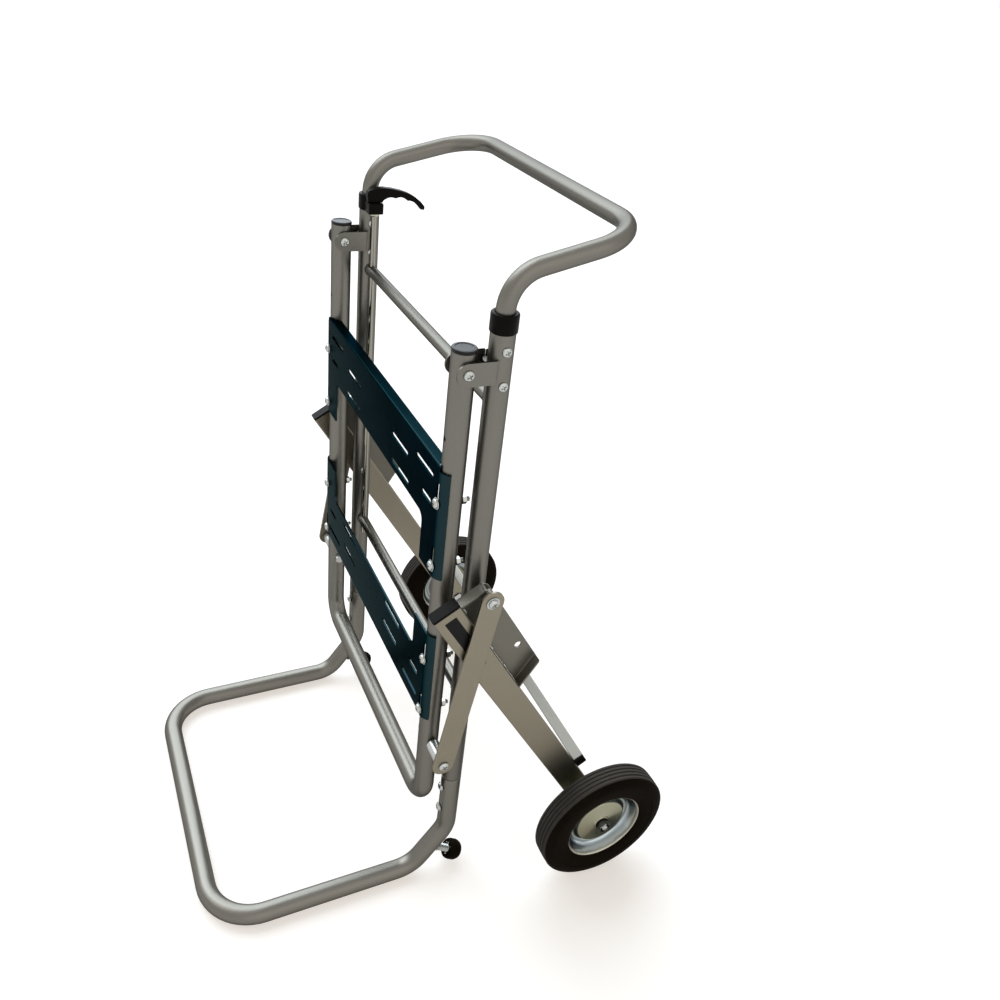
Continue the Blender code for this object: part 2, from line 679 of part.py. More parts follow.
def make_bracket(name, edge_z, away, height, relief, bolt_heights):
    """A stamped bracket: a slotted rail ahead of the tubes, a flange at its edge, a tab on each tube.

    away is -1 where the tabs hang down from the rail and 1 where they stand up from it. The wraps
    of the tabs start a relief away from the rail's edge.
    """
    front_r = TUBE_R + GAP + SHEET
    back_r = TUBE_R + GAP
    down = -math.pi / 2
    right, left = (TOOL_X, TOOL_Y), (-TOOL_X, TOOL_Y)
    outline = arc_points(right, front_r, down, down + WRAP_ANGLE, WRAP_STEPS)
    outline += arc_points(right, back_r, down + WRAP_ANGLE, down, WRAP_STEPS)
    outline += arc_points(left, back_r, down, down - WRAP_ANGLE, WRAP_STEPS)
    outline += arc_points(left, front_r, down - WRAP_ANGLE, down, WRAP_STEPS)
    tab_end = edge_z + away * height
    sheet = prism(bmesh.new(), outline, point, min(edge_z, tab_end), max(edge_z, tab_end))
    bracket = part(name, sheet, "teal_paint", TOOL)
    inner_z = edge_z + away * SHEET
    start_y, end_y = WEB_BACK_Y - SHEET / 2, WEB_FRONT_Y + BRACKET_FLANGE
    end_x = TOOL_X - FLANGE_STOP
    start_x = end_x + end_y - start_y
    mitred = ((-start_x, start_y), (start_x, start_y), (end_x, end_y), (-end_x, end_y))
    shaped(bracket, "UNION", prism(bmesh.new(), mitred, point, min(edge_z, inner_z), max(edge_z, inner_z)))
    cuts = bmesh.new()
    front, back = WEB_FRONT_Y - OVERRUN, WEB_BACK_Y + OVERRUN
    window = TOOL_X - BRACKET_TAB
    rail_z, past_z = edge_z + away * RAIL_H, tab_end + away * OVERRUN
    box(cuts, point(-window, front, min(rail_z, past_z)), point(window, back, max(rail_z, past_z)))
    for s in (RIGHT, LEFT):
        if relief:
            ends = sorted(((TOOL_X + TAB_RELIEF_OUT) * s, (TOOL_X + front_r + OVERRUN) * s))
            edges = sorted((edge_z - away * OVERRUN, edge_z + away * relief))
            box(cuts, point(ends[0], front, edges[0]), point(ends[1], TOOL_Y, edges[1]))
        for start, end, depth in SLOT_SHARES:
            z = edge_z + away * RAIL_H * depth
            ends = sorted((TOOL_X * start * s, TOOL_X * end * s))
            box(cuts, point(ends[0], front, z - SLOT_W / 2), point(ends[1], back, z + SLOT_W / 2))
        for z in bolt_heights:
            box(
                cuts,
                point(TOOL_X * s - SLOT_W / 2, front, z - SLOT_W / 2),
                point(TOOL_X * s + SLOT_W / 2, back, z + BOLT_SLOT_UP),
            )
    shaped(bracket, "DIFFERENCE", cuts)


def make_tool_fasteners():
    for side, s in SIDES:
        half_out = TUBE_R + CLEVIS_CLEAR + CLEVIS_SHEET + GAP
        start = HINGE + X_AXIS * (TOOL_X * s + half_out)
        bolt(f"hinge_bolt_{side}", start, -X_AXIS, 2 * half_out, SCREW_R, PIN_HEAD_R * 0.9, PIN_HEAD_H)
        for rail, heights in BRACKET_BOLTS.items():
            for place, z in zip(("top", "bottom"), heights):
                start = point(TOOL_X * s, WEB_FRONT_Y - GAP, z)
                grip = GAP + SHEET + GAP + 2 * TUBE_R + GAP
                name = f"{rail}_bracket_bolt_{side}_{place}"
                bolt(name, start, Y_AXIS, grip, SCREW_R, BRACKET_HEAD_R, BRACKET_HEAD_H, TOOL)
        make_link_low_bolt(side, s)


def make_link_low_bolt(side, s):
    """The bolt that the link's lower end turns on, and the spacer that holds the link off the tube."""
    out = X_AXIS * s
    tube_out = TOOL_X + TUBE_R
    spacer_start = LINK_LOW + out * (tube_out + GAP)
    spacer_length = LINK_IN_X - GAP - tube_out - GAP
    spacer = turned(
        bmesh.new(), spacer_start, out,
        ((SPACER_R, 0), (SPACER_R, spacer_length), (PIN_R + GAP, spacer_length), (PIN_R + GAP, 0)),
        BOLT_SIDES, loop=True,
    )
    part(f"link_spacer_{side}", spacer, "zinc", TOOL)
    start = LINK_LOW + out * (LINK_OUT_X + GAP)
    grip = LINK_OUT_X + GAP - (TOOL_X - TUBE_R - GAP)
    bolt(f"link_bolt_{side}", start, -out, grip, PIN_R, PIN_HEAD_R, PIN_HEAD_H, TOOL)


# Links

def make_link(side, s):
    """A flat bar with round ends. Its top pin stops just short of the leg plate, the open pivot."""
    along = (LINK_TOP - LINK_LOW).normalized()
    across = X_AXIS.cross(along)
    length = (LINK_TOP - LINK_LOW).length
    radius = LINK_WIDTH / 2
    outline = arc_points((length, 0), radius, -math.pi / 2, math.pi / 2, LINK_END_STEPS)
    outline += arc_points((0, 0), radius, math.pi / 2, 3 * math.pi / 2, LINK_END_STEPS)

    def place(u, v, w):
        return LINK_LOW + along * u + across * v + X_AXIS * w * s

    bar = prism(bmesh.new(), outline, place, LINK_IN_X, LINK_OUT_X)
    link = part(f"link_{side}", bar, "silver_paint", LINKS[side])
    middle = X_AXIS * s * (LINK_IN_X + LINK_OUT_X) / 2
    reach = LINK_THICK / 2 + OVERRUN
    drilled(link, [across_hole(end + middle, X_AXIS, reach, PIN_R + GAP) for end in (LINK_LOW, LINK_TOP)])
    out = X_AXIS * s
    start = LINK_TOP + out * (LINK_OUT_X + GAP)
    pin = LINK_OUT_X + GAP - (LEG_OUT_X + GAP)
    name = f"link_top_bolt_{side}"
    bolt(name, start, -out, pin, PIN_R, PIN_HEAD_R, PIN_HEAD_H, LINKS[side], nut=False)


# Wheel legs

def leg_section(s, inset, along):
    """The corners of a leg's box section, drawn in by an inset."""
    w, t = LEG_WIDTH / 2 - inset, LEG_THICK / 2 - inset
    middle_x = (LEG_OUT_X - LEG_THICK / 2) * s
    corners = ((-t, -w), (t, -w), (t, w), (-t, w))
    return [leg_point(middle_x + x, along, across) for x, across in corners]


def make_leg(side, s):
    """A box tube from above the pivot to just past the axle, open at its lower end."""
    top, bottom = -LEG_TOP, LEG_TO_AXLE + LEG_PAST_AXLE
    steps = ((0, top), (0, bottom), (LEG_WALL, bottom), (LEG_WALL, top))
    rings = [leg_section(s, inset, along) for inset, along in steps]
    leg = part(f"leg_{side}", loft(bmesh.new(), rings, loop=True), "silver_paint", LEGS)
    reach = LEG_THICK / 2 + OVERRUN
    centre = X_AXIS * (LEG_OUT_X - LEG_THICK / 2) * s
    drilled(leg, [
        across_hole(LEG_PIVOT + centre, X_AXIS, reach, PIN_R + GAP),
        across_hole(AXLE + centre, X_AXIS, reach, AXLE_R + GAP),
    ])


def make_leg_cap(side, s):
    seat = -LEG_TOP - GAP
    plug = LEG_WALL + GAP
    steps = ((plug, seat + CAP_PLUG_DEPTH), (plug, seat), (0, seat), (0, seat - LEG_CAP_H))
    rings = [leg_section(s, inset, along) for inset, along in steps]
    part(f"leg_cap_{side}", loft(bmesh.new(), rings), "black_plastic", LEGS)


def make_leg_plate(side, s):
    """A channel of sheet beside the leg's upper end, open outwards.

    A boss stands out of its web to the link, and a nut is welded behind it.
    """
    out, back = LEG_OUT_X * s, (LEG_OUT_X - PLATE_FLANGE) * s
    web = back + SHEET * s
    top, bottom = -LEG_TOP, -LEG_TOP + PLATE_LENGTH
    beside = LEG_WIDTH / 2 + WELD_GAP
    outline = (
        (top, out), (top, back), (bottom, back), (bottom, out),
        (bottom - SHEET, out), (bottom - SHEET, web), (top + SHEET, web), (top + SHEET, out),
    )

    def place(along, x, across):
        lean = (across - beside) * PLATE_LEAN_SHARE if along > 0 else 0
        return leg_point(x, along - lean, across)

    mesh = prism(bmesh.new(), outline, place, beside, PLATE_REACH)
    plate = part(f"leg_plate_{side}", mesh, "silver_paint", LEGS)
    nut_end = LINK_TOP + X_AXIS * (back - WELD_NUT_H * s)
    boss_end = LINK_TOP + X_AXIS * out
    shaped(plate, "UNION", rod_between(bmesh.new(), nut_end, boss_end, WELD_NUT_R, BOLT_SIDES))
    hole = leg_point(web, PLATE_HOLE_ALONG, PLATE_HOLE_ACROSS)
    past = X_AXIS * OVERRUN * s
    drilled(plate, [
        (boss_end + past, nut_end - past, PIN_R + GAP),
        across_hole(hole, X_AXIS, SHEET + OVERRUN, PLATE_HOLE_R),
    ])


def make_spreader():
    """A square bar across both legs, on their upper faces."""
    low = LEG_WIDTH / 2 + WELD_GAP
    along = LEG_TO_AXLE - SPREADER_UP

    def section(inset, x):
        corners = ((-1, -1), (1, -1), (1, 1), (-1, 1))
        half = SPREADER / 2 - inset
        return [leg_point(x, along + half * a, low + SPREADER / 2 + half * b) for a, b in corners]

    steps = ((0, -LEG_OUT_X), (0, LEG_OUT_X), (TUBE_WALL, LEG_OUT_X), (TUBE_WALL, -LEG_OUT_X))
    rings = [section(inset, x) for inset, x in steps]
    part("spreader_bar", loft(bmesh.new(), rings, loop=True), "silver_paint", LEGS)


# Wheels

def make_wheel(side, s):
    out = X_AXIS * s
    middle = AXLE + out * WHEEL_X
    hub_in = -(WHEEL_X - LEG_OUT_X - 2 * GAP)
    bore = AXLE_R + RUNNING
    lip, barrel, half = RIM_LIP_R, RIM_BARREL_R, RIM_HALF
    disc_out, disc_in = RIM_DISC_OUT, RIM_DISC_OUT - RIM_SHEET
    rim_profile = (
        (lip, -half), (lip, -half + RIM_SHEET), (barrel, -half + 2 * RIM_SHEET),
        (barrel, half - 2 * RIM_SHEET), (lip, half - RIM_SHEET), (lip, half),
        (lip - RIM_SHEET, half), (barrel - RIM_SHEET, half - RIM_SHEET),
        (barrel - RIM_SHEET, disc_out), (HUB_R, disc_out), (HUB_R, HUB_OUT), (bore, HUB_OUT),
        (bore, hub_in), (HUB_R, hub_in), (HUB_R, disc_in), (barrel - RIM_SHEET, disc_in),
        (barrel - RIM_SHEET, -half + RIM_SHEET), (lip - RIM_SHEET, -half),
    )
    rim = turned(bmesh.new(), middle, out, rim_profile, WHEEL_SIDES, loop=True)
    part(f"rim_{side}", rim, "zinc_yellow", WHEELS[side])
    half_width = WHEEL_WIDTH / 2
    seat = barrel + GAP
    bead = half - 2 * RIM_SHEET - GAP
    over_lip = lip + GAP
    wall_r = (over_lip + WHEEL_R) / 2
    half_profile = (
        (seat, bead), (over_lip, half - RIM_SHEET - GAP), (over_lip, half), (wall_r, half_width),
        (WHEEL_R - SHOULDER_DROP, half_width - SHOULDER_DROP / 2), (WHEEL_R, TREAD_HALF),
    )
    tyre_profile = half_profile + tuple((r, -h) for r, h in half_profile[::-1])
    tyre = turned(bmesh.new(), middle, out, tyre_profile, WHEEL_SIDES, loop=True)
    part(f"tyre_{side}", tyre, "rubber", WHEELS[side])
    start = AXLE + out * (LEG_IN_X - GAP)
    grip = WHEEL_X + HUB_OUT + 2 * GAP - (LEG_IN_X - GAP)
    bolt(f"axle_bolt_{side}", start, out, grip, AXLE_R, AXLE_R * NUT_SHARE, LOW_HEAD_H, LEGS)


# Levelling feet

def make_foot(side, s):
    """A rubber-tipped screw in the back of the base's slanted part, square to it."""
    start = SLANT_MIDDLE + X_AXIS * UPRIGHT_X * s
    pad_start = FOOT_REACH - PAD_H
    nut_start = pad_start - STUD_NUT_H
    profile = (
        (STUD_R, -STUD_IN), (STUD_R, nut_start), (STUD_NUT_R, nut_start), (STUD_NUT_R, pad_start),
        (PAD_R * 0.85, pad_start), (PAD_R, pad_start + PAD_H * 0.2),
        (PAD_R, pad_start + PAD_H * 0.75), (PAD_R * 0.8, FOOT_REACH),
    )
    foot = turned(bmesh.new(), start, FOOT_DOWN, profile, TUBE_SIDES)
    part(f"levelling_foot_{side}", foot, "black_plastic", FEET[side])


# Release lever and rod

def make_rod():
    """A round rod whose thin neck reaches up into the lever's slot."""
    length = ROD_TOP_Z - ROD_LOW_Z
    profile = ((ROD_R, 0), (ROD_R, length - NECK_LENGTH), (NECK_R, length - NECK_LENGTH), (NECK_R, length))
    foot = point(ROD_X, UPRIGHT_Y, ROD_LOW_Z)
    part("release_rod", turned(bmesh.new(), foot, Z_AXIS, profile, BOLT_SIDES), "chrome", ROD)


# The lever's side outline, as shares of its reach behind the rod and its rise above the housing
LEVER_TOP_SHARES = (
    (-0.165, 0.54), (-0.145, 0.73), (-0.03, 0.93), (0.16, 1.0), (0.33, 0.93), (0.50, 0.80),
    (0.66, 0.585), (0.80, 0.29), (0.91, -0.02), (1.0, -0.34), (0.986, -0.49), (0.938, -0.464),
)
GROOVE_START_SHARES = (0.16, 0.17)
GROOVE_END_SHARES = (0.883, -0.293)


def lever_underside():
    """Finger grooves along an arched line, from the tip back towards the hub."""
    steps = GRIP_GROOVES * GROOVE_POINTS
    found = []
    for k in range(steps + 1):
        share = 1 - k / steps
        back, rise = (a + (b - a) * share for a, b in zip(GROOVE_START_SHARES, GROOVE_END_SHARES))
        arch = GROOVE_ARCH * math.sin(math.pi * share)
        groove = GROOVE_DEPTH * abs(math.sin(math.pi * GRIP_GROOVES * share))
        found.append((back * LEVER_REACH, rise * LEVER_RISE + arch + groove))
    return found


def make_lever():
    """The lever: a hub round its pin, a slot for the lug and the rod's neck, and a grooved grip."""
    hub = (-LEVER_PIN_AHEAD, LEVER_PIN_UP)
    hub_r = LEVER_PIN_UP - LEVER_GAP
    outline = [(back * LEVER_REACH, rise * LEVER_RISE) for back, rise in LEVER_TOP_SHARES]
    outline += lever_underside()
    outline.append((ROD_R, LEVER_GAP))
    outline += arc_points(hub, hub_r, -math.pi / 2, -math.pi, LEVER_HUB_STEPS)

    def place(back, up, across):
        return point(ROD_X + across, UPRIGHT_Y + back, HOUSING_TOP_Z + up)

    blade = prism(bmesh.new(), outline, place, -LEVER_HALF, LEVER_HALF)
    lever = part("release_lever", blade, "black_plastic", LEVER)
    slot_half = LUG_HALF + GAP
    low = place(-LEVER_PIN_AHEAD - LEVER_PIN_UP - OVERRUN, -LEVER_PIN_UP, -slot_half)
    high = place(LEVER_SLOT_BACK, LEVER_SLOT_H, slot_half)
    shaped(lever, "DIFFERENCE", box(bmesh.new(), low, high))
    half = X_AXIS * (LEVER_HALF - GAP)
    pin = rod_between(bmesh.new(), LEVER_PIN - half, LEVER_PIN + half, LEVER_PIN_R, BOLT_SIDES)
    shaped(lever, "UNION", pin)


def build():
    make_base()
    make_cross_tube("cross_tube_upper", CROSS_TOP_Z)
    make_cross_tube("cross_tube_lower", CROSS_LOW_Z)
    make_handle()
    make_tool_tube()
    make_bracket("upper_bracket", RAIL_EDGE_TOP_Z, -1, BRACKET_H, TAB_RELIEF, BRACKET_BOLTS["upper"])
    make_bracket("lower_bracket", RAIL_EDGE_LOW_Z, 1, LOWER_BRACKET_H, 0, BRACKET_BOLTS["lower"])
    make_spreader()
    for side, s in SIDES:
        make_upright(side, s)
        make_clevis(side, s)
        collar = make_collar(side, s)
        if s == LEFT:
            add_lever_housing(collar)
        make_tool_cap(side, s)
        make_link(side, s)
        make_leg(side, s)
        make_leg_cap(side, s)
        make_leg_plate(side, s)
        make_wheel(side, s)
        make_foot(side, s)
    make_rear_fasteners()
    make_tool_fasteners()
    make_rod()
    make_lever()


build()
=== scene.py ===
"""Finished surfaces of a folding wheeled stand: painted tubes, slotted brackets, zinc screws and wheels."""

import json
import math

import bmesh
import bpy
from mathutils import Matrix, Vector, noise


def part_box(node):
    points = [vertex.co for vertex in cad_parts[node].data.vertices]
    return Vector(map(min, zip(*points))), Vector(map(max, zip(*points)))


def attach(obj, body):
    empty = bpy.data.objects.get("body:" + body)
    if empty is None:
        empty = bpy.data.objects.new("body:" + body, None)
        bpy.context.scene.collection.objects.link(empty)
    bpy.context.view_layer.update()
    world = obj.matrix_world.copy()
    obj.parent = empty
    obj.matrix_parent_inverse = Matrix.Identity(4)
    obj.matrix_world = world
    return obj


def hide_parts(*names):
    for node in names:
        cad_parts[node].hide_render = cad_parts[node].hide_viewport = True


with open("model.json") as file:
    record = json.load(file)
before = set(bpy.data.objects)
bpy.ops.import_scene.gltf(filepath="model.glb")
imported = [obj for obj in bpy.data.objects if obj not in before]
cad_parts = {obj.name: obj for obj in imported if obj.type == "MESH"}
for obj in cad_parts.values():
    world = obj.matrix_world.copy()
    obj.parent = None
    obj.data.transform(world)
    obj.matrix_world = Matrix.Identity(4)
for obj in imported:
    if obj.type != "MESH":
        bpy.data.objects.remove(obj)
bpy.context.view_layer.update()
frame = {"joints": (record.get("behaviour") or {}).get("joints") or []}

X_AXIS = Vector((1, 0, 0))
Y_AXIS = Vector((0, 1, 0))
Z_AXIS = Vector((0, 0, 1))
SIDES = (("right", 1), ("left", -1))
ENDS = (("upper", 0), ("lower", 1))

# Camera, from the photograph's perspective
CAMERA_PLACE = Vector((1.0125, -0.3939, 1.2285))
CAMERA_RIGHT = Vector((0.4178, 0.9021, 0.1081))
CAMERA_UP = Vector((-0.5245, 0.1424, 0.8394))
SENSOR = 36
FOCAL_LENGTH = 32.64
ROOM_LIGHT = 0.25  # what the room adds to a matt surface


# Places read from the frame

def middle(node):
    low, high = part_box(node)
    return (low + high) / 2


def extent(node):
    low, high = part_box(node)
    return high - low


def joint_place(name):
    return Vector(next(joint["pos_m"] for joint in frame["joints"] if joint["name"] == name))


UPRIGHT = middle("upright_right")
UPRIGHT_X = UPRIGHT.x
UPRIGHT_Y = UPRIGHT.y
UPRIGHT_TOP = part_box("upright_right")[1].z
SEAM_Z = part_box("base_tube")[1].z
TUBE_R = extent("upright_right").x / 2
TOOL_X = middle("tube_cap_right").x
TOOL_Y = joint_place("tool_frame_fold").y
HINGE = joint_place("tool_frame_fold")
LEG_PIVOT = joint_place("wheel_legs_fold")
LINK_LOW = joint_place("right_link_turn")
AXLE = joint_place("right_wheel_spin")
LEVER_PIN = joint_place("lever_pull")
LINK_TOP = middle("link_top_bolt_right")
CROSS_R = extent("cross_tube_upper").z / 2
HANDLE_R = 0.0107
WHEEL_R = AXLE.z
WHEEL_HALF = extent("tyre_right").x / 2
LEG_LOW, LEG_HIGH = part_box("leg_right")
LEG_IN_X, LEG_OUT_X = LEG_LOW.x, LEG_HIGH.x
FOLD = math.radians(35.7)

# Finishing sizes
GAP = 0.0003
TUBE_STEPS = 40
WHEEL_STEPS = 96
BOLT_STEPS = 28
BEND_STEP = math.radians(7)
MERGE = 0.00001
TUBE_WALL = 0.0015
SHEET = 0.0025
EDGE = 0.0004


# Shader maths

class Value:
    """A shader socket that Python's operators join with Math nodes."""

    def __init__(self, tree, socket):
        self.tree = tree
        self.socket = socket

    def maths(self, operation, first, second):
        node = self.tree.nodes.new("ShaderNodeMath")
        node.operation = operation
        for entry, value in zip(node.inputs, (first, second)):
            if isinstance(value, Value):
                self.tree.links.new(value.socket, entry)
            else:
                entry.default_value = value
        return Value(self.tree, node.outputs[0])

    def __add__(self, other):
        return self.maths("ADD", self, other)

    def __sub__(self, other):
        return self.maths("SUBTRACT", self, other)

    def __rsub__(self, other):
        return self.maths("SUBTRACT", other, self)

    def __mul__(self, other):
        return self.maths("MULTIPLY", self, other)

    def __pow__(self, other):
        return self.maths("POWER", self, other)

    __radd__ = __add__
    __rmul__ = __mul__


class Finish:
    """A material, the record's slot that it stands for, and the nodes that make it."""

    def __init__(self, name, slot, colour, roughness, metallic=0.0):
        self.slot = slot
        self.colour = (*colour, 1)
        self.material = bpy.data.materials.new(name)
        self.material.use_nodes = True
        self.tree = self.material.node_tree
        self.shader = self.tree.nodes["Principled BSDF"]
        self.material.diffuse_color = self.colour
        self.feed("Base Color", self.colour)
        self.feed("Roughness", roughness)
        self.feed("Metallic", metallic)
        self.place = self.node("ShaderNodeTexCoord", output="Object")

    def node(self, kind, settings=None, output=0, **values):
        made = self.tree.nodes.new(kind)
        for name, value in (settings or {}).items():
            setattr(made, name, value)
        for name, value in values.items():
            self.fill(made.inputs[name.replace("_", " ")], value)
        return Value(self.tree, made.outputs[output])

    def fill(self, entry, value):
        if isinstance(value, Value):
            self.tree.links.new(value.socket, entry)
        else:
            entry.default_value = value

    def feed(self, name, value):
        self.fill(self.shader.inputs[name], value)

    def noise(self, scale, detail=3.0, place=None):
        return self.node("ShaderNodeTexNoise", Vector=place or self.place, Scale=scale, Detail=detail)

    def stretched(self, scales):
        return self.node("ShaderNodeMapping", Vector=self.place, Scale=scales)

    def ramp(self, factor, stops):
        made = self.tree.nodes.new("ShaderNodeValToRGB")
        elements = made.color_ramp.elements
        for element, (position, colour) in zip(elements, (stops[0], stops[-1])):
            element.position = position
            element.color = (*colour, 1)
        for position, colour in stops[1:-1]:
            elements.new(position).color = (*colour, 1)
        self.tree.links.new(factor.socket, made.inputs["Fac"])
        return Value(self.tree, made.outputs["Color"])

    def mixed(self, factor, first, second):
        made = self.tree.nodes.new("ShaderNodeMix")
        made.data_type = "RGBA"
        for entry, value in zip((made.inputs[0], made.inputs[6], made.inputs[7]), (factor, first, second)):
            self.fill(entry, value)
        return Value(self.tree, made.outputs[2])

    def axle_radius(self):
        """The distance from the wheels' axle, in decimetres."""
        from_axle = self.node("ShaderNodeMapping", Vector=self.place, Location=(0, -AXLE.y, -AXLE.z))
        flat = self.node("ShaderNodeMapping", Vector=from_axle, Scale=(0, 10, 10))
        return self.node("ShaderNodeVectorMath", {"operation": "LENGTH"}, "Value", Vector=flat)

    def bump(self, height, distance, strength=1.0):
        self.feed("Normal", self.node("ShaderNodeBump", Height=height, Distance=distance, Strength=strength))


def shade_of(colour, share):
    return (*(channel * share for channel in colour), 1)


def silver_paint(name, colour, metallic=1.0):
    """Silver-grey metallic powder coat: flakes, faint clouds and orange peel."""
    made = Finish(name, "silver_paint", colour, 0.4, metallic)
    flakes = made.noise(2600, 1.0)
    clouds = made.noise(9, 2.0)
    tone = made.mixed(clouds, shade_of(colour, 0.92), shade_of(colour, 1.1))
    made.feed("Base Color", made.mixed(flakes ** 3 * 1.6, tone, shade_of(colour, 1.7)))
    made.feed("Roughness", 0.3 + flakes * 0.1 + clouds * 0.06)
    made.feed("Specular Tint", (0.34, 0.34, 0.36, 1))
    made.bump(made.noise(520, 2.0), 0.00005, 0.25)
    return made


def bracket_paint():
    """Very dark blue-green gloss paint."""
    colour = (0.013, 0.027, 0.031)
    made = Finish("dark teal gloss paint", "teal_paint", colour, 0.3, 1.0)
    clouds = made.noise(14, 2.0)
    made.feed("Base Color", made.mixed(clouds, shade_of(colour, 0.85), shade_of(colour, 1.2)))
    made.feed("Roughness", 0.22 + clouds * 0.08)
    made.feed("Specular Tint", (0.34, 0.36, 0.36, 1))
    made.bump(made.noise(420, 2.0), 0.00005, 0.2)
    return made


def black_moulding(name, gloss):
    """Black moulded plastic with a fine spark-eroded grain."""
    colour = (0.0048, 0.0036, 0.0028)
    made = Finish(name, "black_plastic", colour, 0.5)
    grain = made.noise(1500, 2.0)
    made.feed("Base Color", made.mixed(made.noise(30), shade_of(colour, 0.8), shade_of(colour, 1.3)))
    made.feed("Roughness", 0.34 + grain * 0.2)
    made.feed("Specular IOR Level", gloss)
    made.bump(grain, 0.00006, 0.3)
    return made


def zinc_plate(name, slot, colour, tint):
    """Zinc plate with cloudy passivation and fine scratches."""
    made = Finish(name, slot, colour, 0.3, 1.0)
    clouds = made.noise(70, 4.0)
    made.feed("Base Color", made.mixed(clouds, (*colour, 1), (*tint, 1)))
    scratches = made.noise(300, 2.0, made.stretched((1, 9, 2)))
    made.feed("Roughness", 0.2 + clouds * 0.14 + scratches * 0.08)
    made.feed("Specular Tint", (0.4, 0.4, 0.4, 1))
    made.bump(scratches, 0.00002, 0.3)
    return made


def rod_chrome():
    made = Finish("polished chrome", "chrome", (0.26, 0.245, 0.21), 0.12, 1.0)
    made.feed("Roughness", 0.07 + made.noise(220, 3.0) * 0.1)
    made.feed("Specular Tint", (0.3, 0.3, 0.3, 1))
    return made


def tyre_rubber(name, slot, tread=False):
    """Black-brown rubber with mould grain and dusty mottling; on the tread the grooves are painted paler, a painted
    highlight for the light along the ribs' edges.
    """
    colour = (0.0084, 0.0060, 0.0038)
    made = Finish(name, slot, colour, 0.6)
    dust = made.noise(45, 5.0)
    tone = made.mixed(dust ** 2, shade_of(colour, 0.8), shade_of(colour, 2.0))
    if tread:
        # A band at the grooves' depth is painted pale: a painted highlight standing for the thin bright lines the
        # ribs' edges catch.
        floor = WHEEL_R * 10
        dark, pale = (0, 0, 0), (0.8, 0.8, 0.8)
        stops = ((floor - 0.023, dark), (floor - 0.020, pale), (floor - 0.0125, pale), (floor - 0.0105, dark))
        grooves = made.ramp(made.axle_radius(), stops)
        tone = made.mixed(grooves, tone, (0.075, 0.066, 0.058, 1))
    made.feed("Base Color", tone)
    made.feed("Roughness", 0.5 + dust * 0.25)
    made.feed("Specular IOR Level", 0.01)
    made.bump(made.noise(900, 3.0), 0.0001, 0.3)
    return made


def plate_black():
    """The bare nameplate: satin black film."""
    colour = (0.006, 0.005, 0.005)
    made = Finish("black film", "black_plastic", colour, 0.4)
    made.feed("Roughness", 0.3 + made.noise(160) * 0.15)
    made.feed("Specular IOR Level", 0.1)
    return made


def rim_zinc():
    """Zinc plate: yellow-green on the flat centre; on the ring, dark, bluish and pale bands and a pale lip are painted
    reflections and shade of the polished metal.
    """
    centre = (0.275, 0.27, 0.195)
    # The bands paint the polished ring's reflections: dark painted shade in the channel, bluish and pale painted
    # highlights, and a pale painted highlight on the lip.
    painted_reflection_bands = (
        (0.39, centre), (0.40, (0.08, 0.085, 0.075)), (0.435, (0.13, 0.14, 0.13)), (0.462, (0.34, 0.38, 0.38)),
        (0.487, (0.13, 0.15, 0.15)), (0.505, (0.42, 0.47, 0.49)), (0.530, (0.22, 0.25, 0.26)), (0.552, (0.30, 0.32, 0.30)),
        (0.575, (0.12, 0.125, 0.11)), (0.60, (0.42, 0.40, 0.33)),
    )
    made = Finish("zinc with painted reflection bands", "zinc_yellow", centre, 0.25, 1.0)
    clouds = made.noise(60, 4.0)
    wavering = made.axle_radius() + (clouds - 0.5) * 0.02
    made.feed("Base Color", made.ramp(wavering, painted_reflection_bands))
    made.feed("Roughness", 0.16 + clouds * 0.12)
    made.feed("Specular Tint", (0.4, 0.4, 0.42, 1))
    return made


SILVER = silver_paint("silver powder coat", (0.139, 0.132, 0.115))
# A lighter, warmer copy of the silver powder coat for the legs and links: painted light, standing for the extra light
# their flat outer faces catch.
SILVER_PAINTED_LIGHTER = silver_paint("silver powder coat painted lighter", (0.197, 0.177, 0.136))
PLATE_SILVER = silver_paint("silver powder coat on plate", (0.150, 0.140, 0.115), 0.55)
TEAL = bracket_paint()
BLACK = black_moulding("black moulded plastic", 0.05)
CAP_BLACK = black_moulding("black cap plastic", 0.22)
ZINC = zinc_plate("bright zinc", "zinc", (0.48, 0.50, 0.52), (0.40, 0.40, 0.34))
RIM_ZINC = rim_zinc()
CHROME = rod_chrome()
RUBBER = tyre_rubber("tyre rubber", "tyre", True)
FOOT_RUBBER = tyre_rubber("foot rubber", "foot_rubber")
FILM = plate_black()


# Mesh tools

def looking(place, direction, side=None):
    """Stands a shape's own Z along a direction, at a place."""
    z = direction.normalized()
    guide = side or (X_AXIS if abs(z.x) < 0.9 else Z_AXIS)
    x = (guide - z * guide.dot(z)).normalized()
    return Matrix.Translation(place) @ Matrix((x, z.cross(x), z)).transposed().to_4x4()


def piece(name, mesh, finish, rider, stands_for=(), sharp=35, planar=False):
    """Makes an object of a mesh, dresses it and lets it ride on a body.

    A planar piece takes its shading from its largest faces, so that sheet and bar look flat.
    """
    bmesh.ops.remove_doubles(mesh, verts=mesh.verts, dist=MERGE)
    bmesh.ops.recalc_face_normals(mesh, faces=mesh.faces)
    data = bpy.data.meshes.new(name)
    mesh.to_mesh(data)
    mesh.free()
    data.shade_smooth()
    data.set_sharp_from_angle(angle=math.radians(sharp))
    data.materials.append(finish.material)
    made = bpy.data.objects.new(name, data)
    bpy.context.scene.collection.objects.link(made)
    if planar:
        evened = made.modifiers.new("flat faces", "WEIGHTED_NORMAL")
        evened.keep_sharp = True
    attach(made, rider)
    if stands_for:
        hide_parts(*stands_for)
    return made


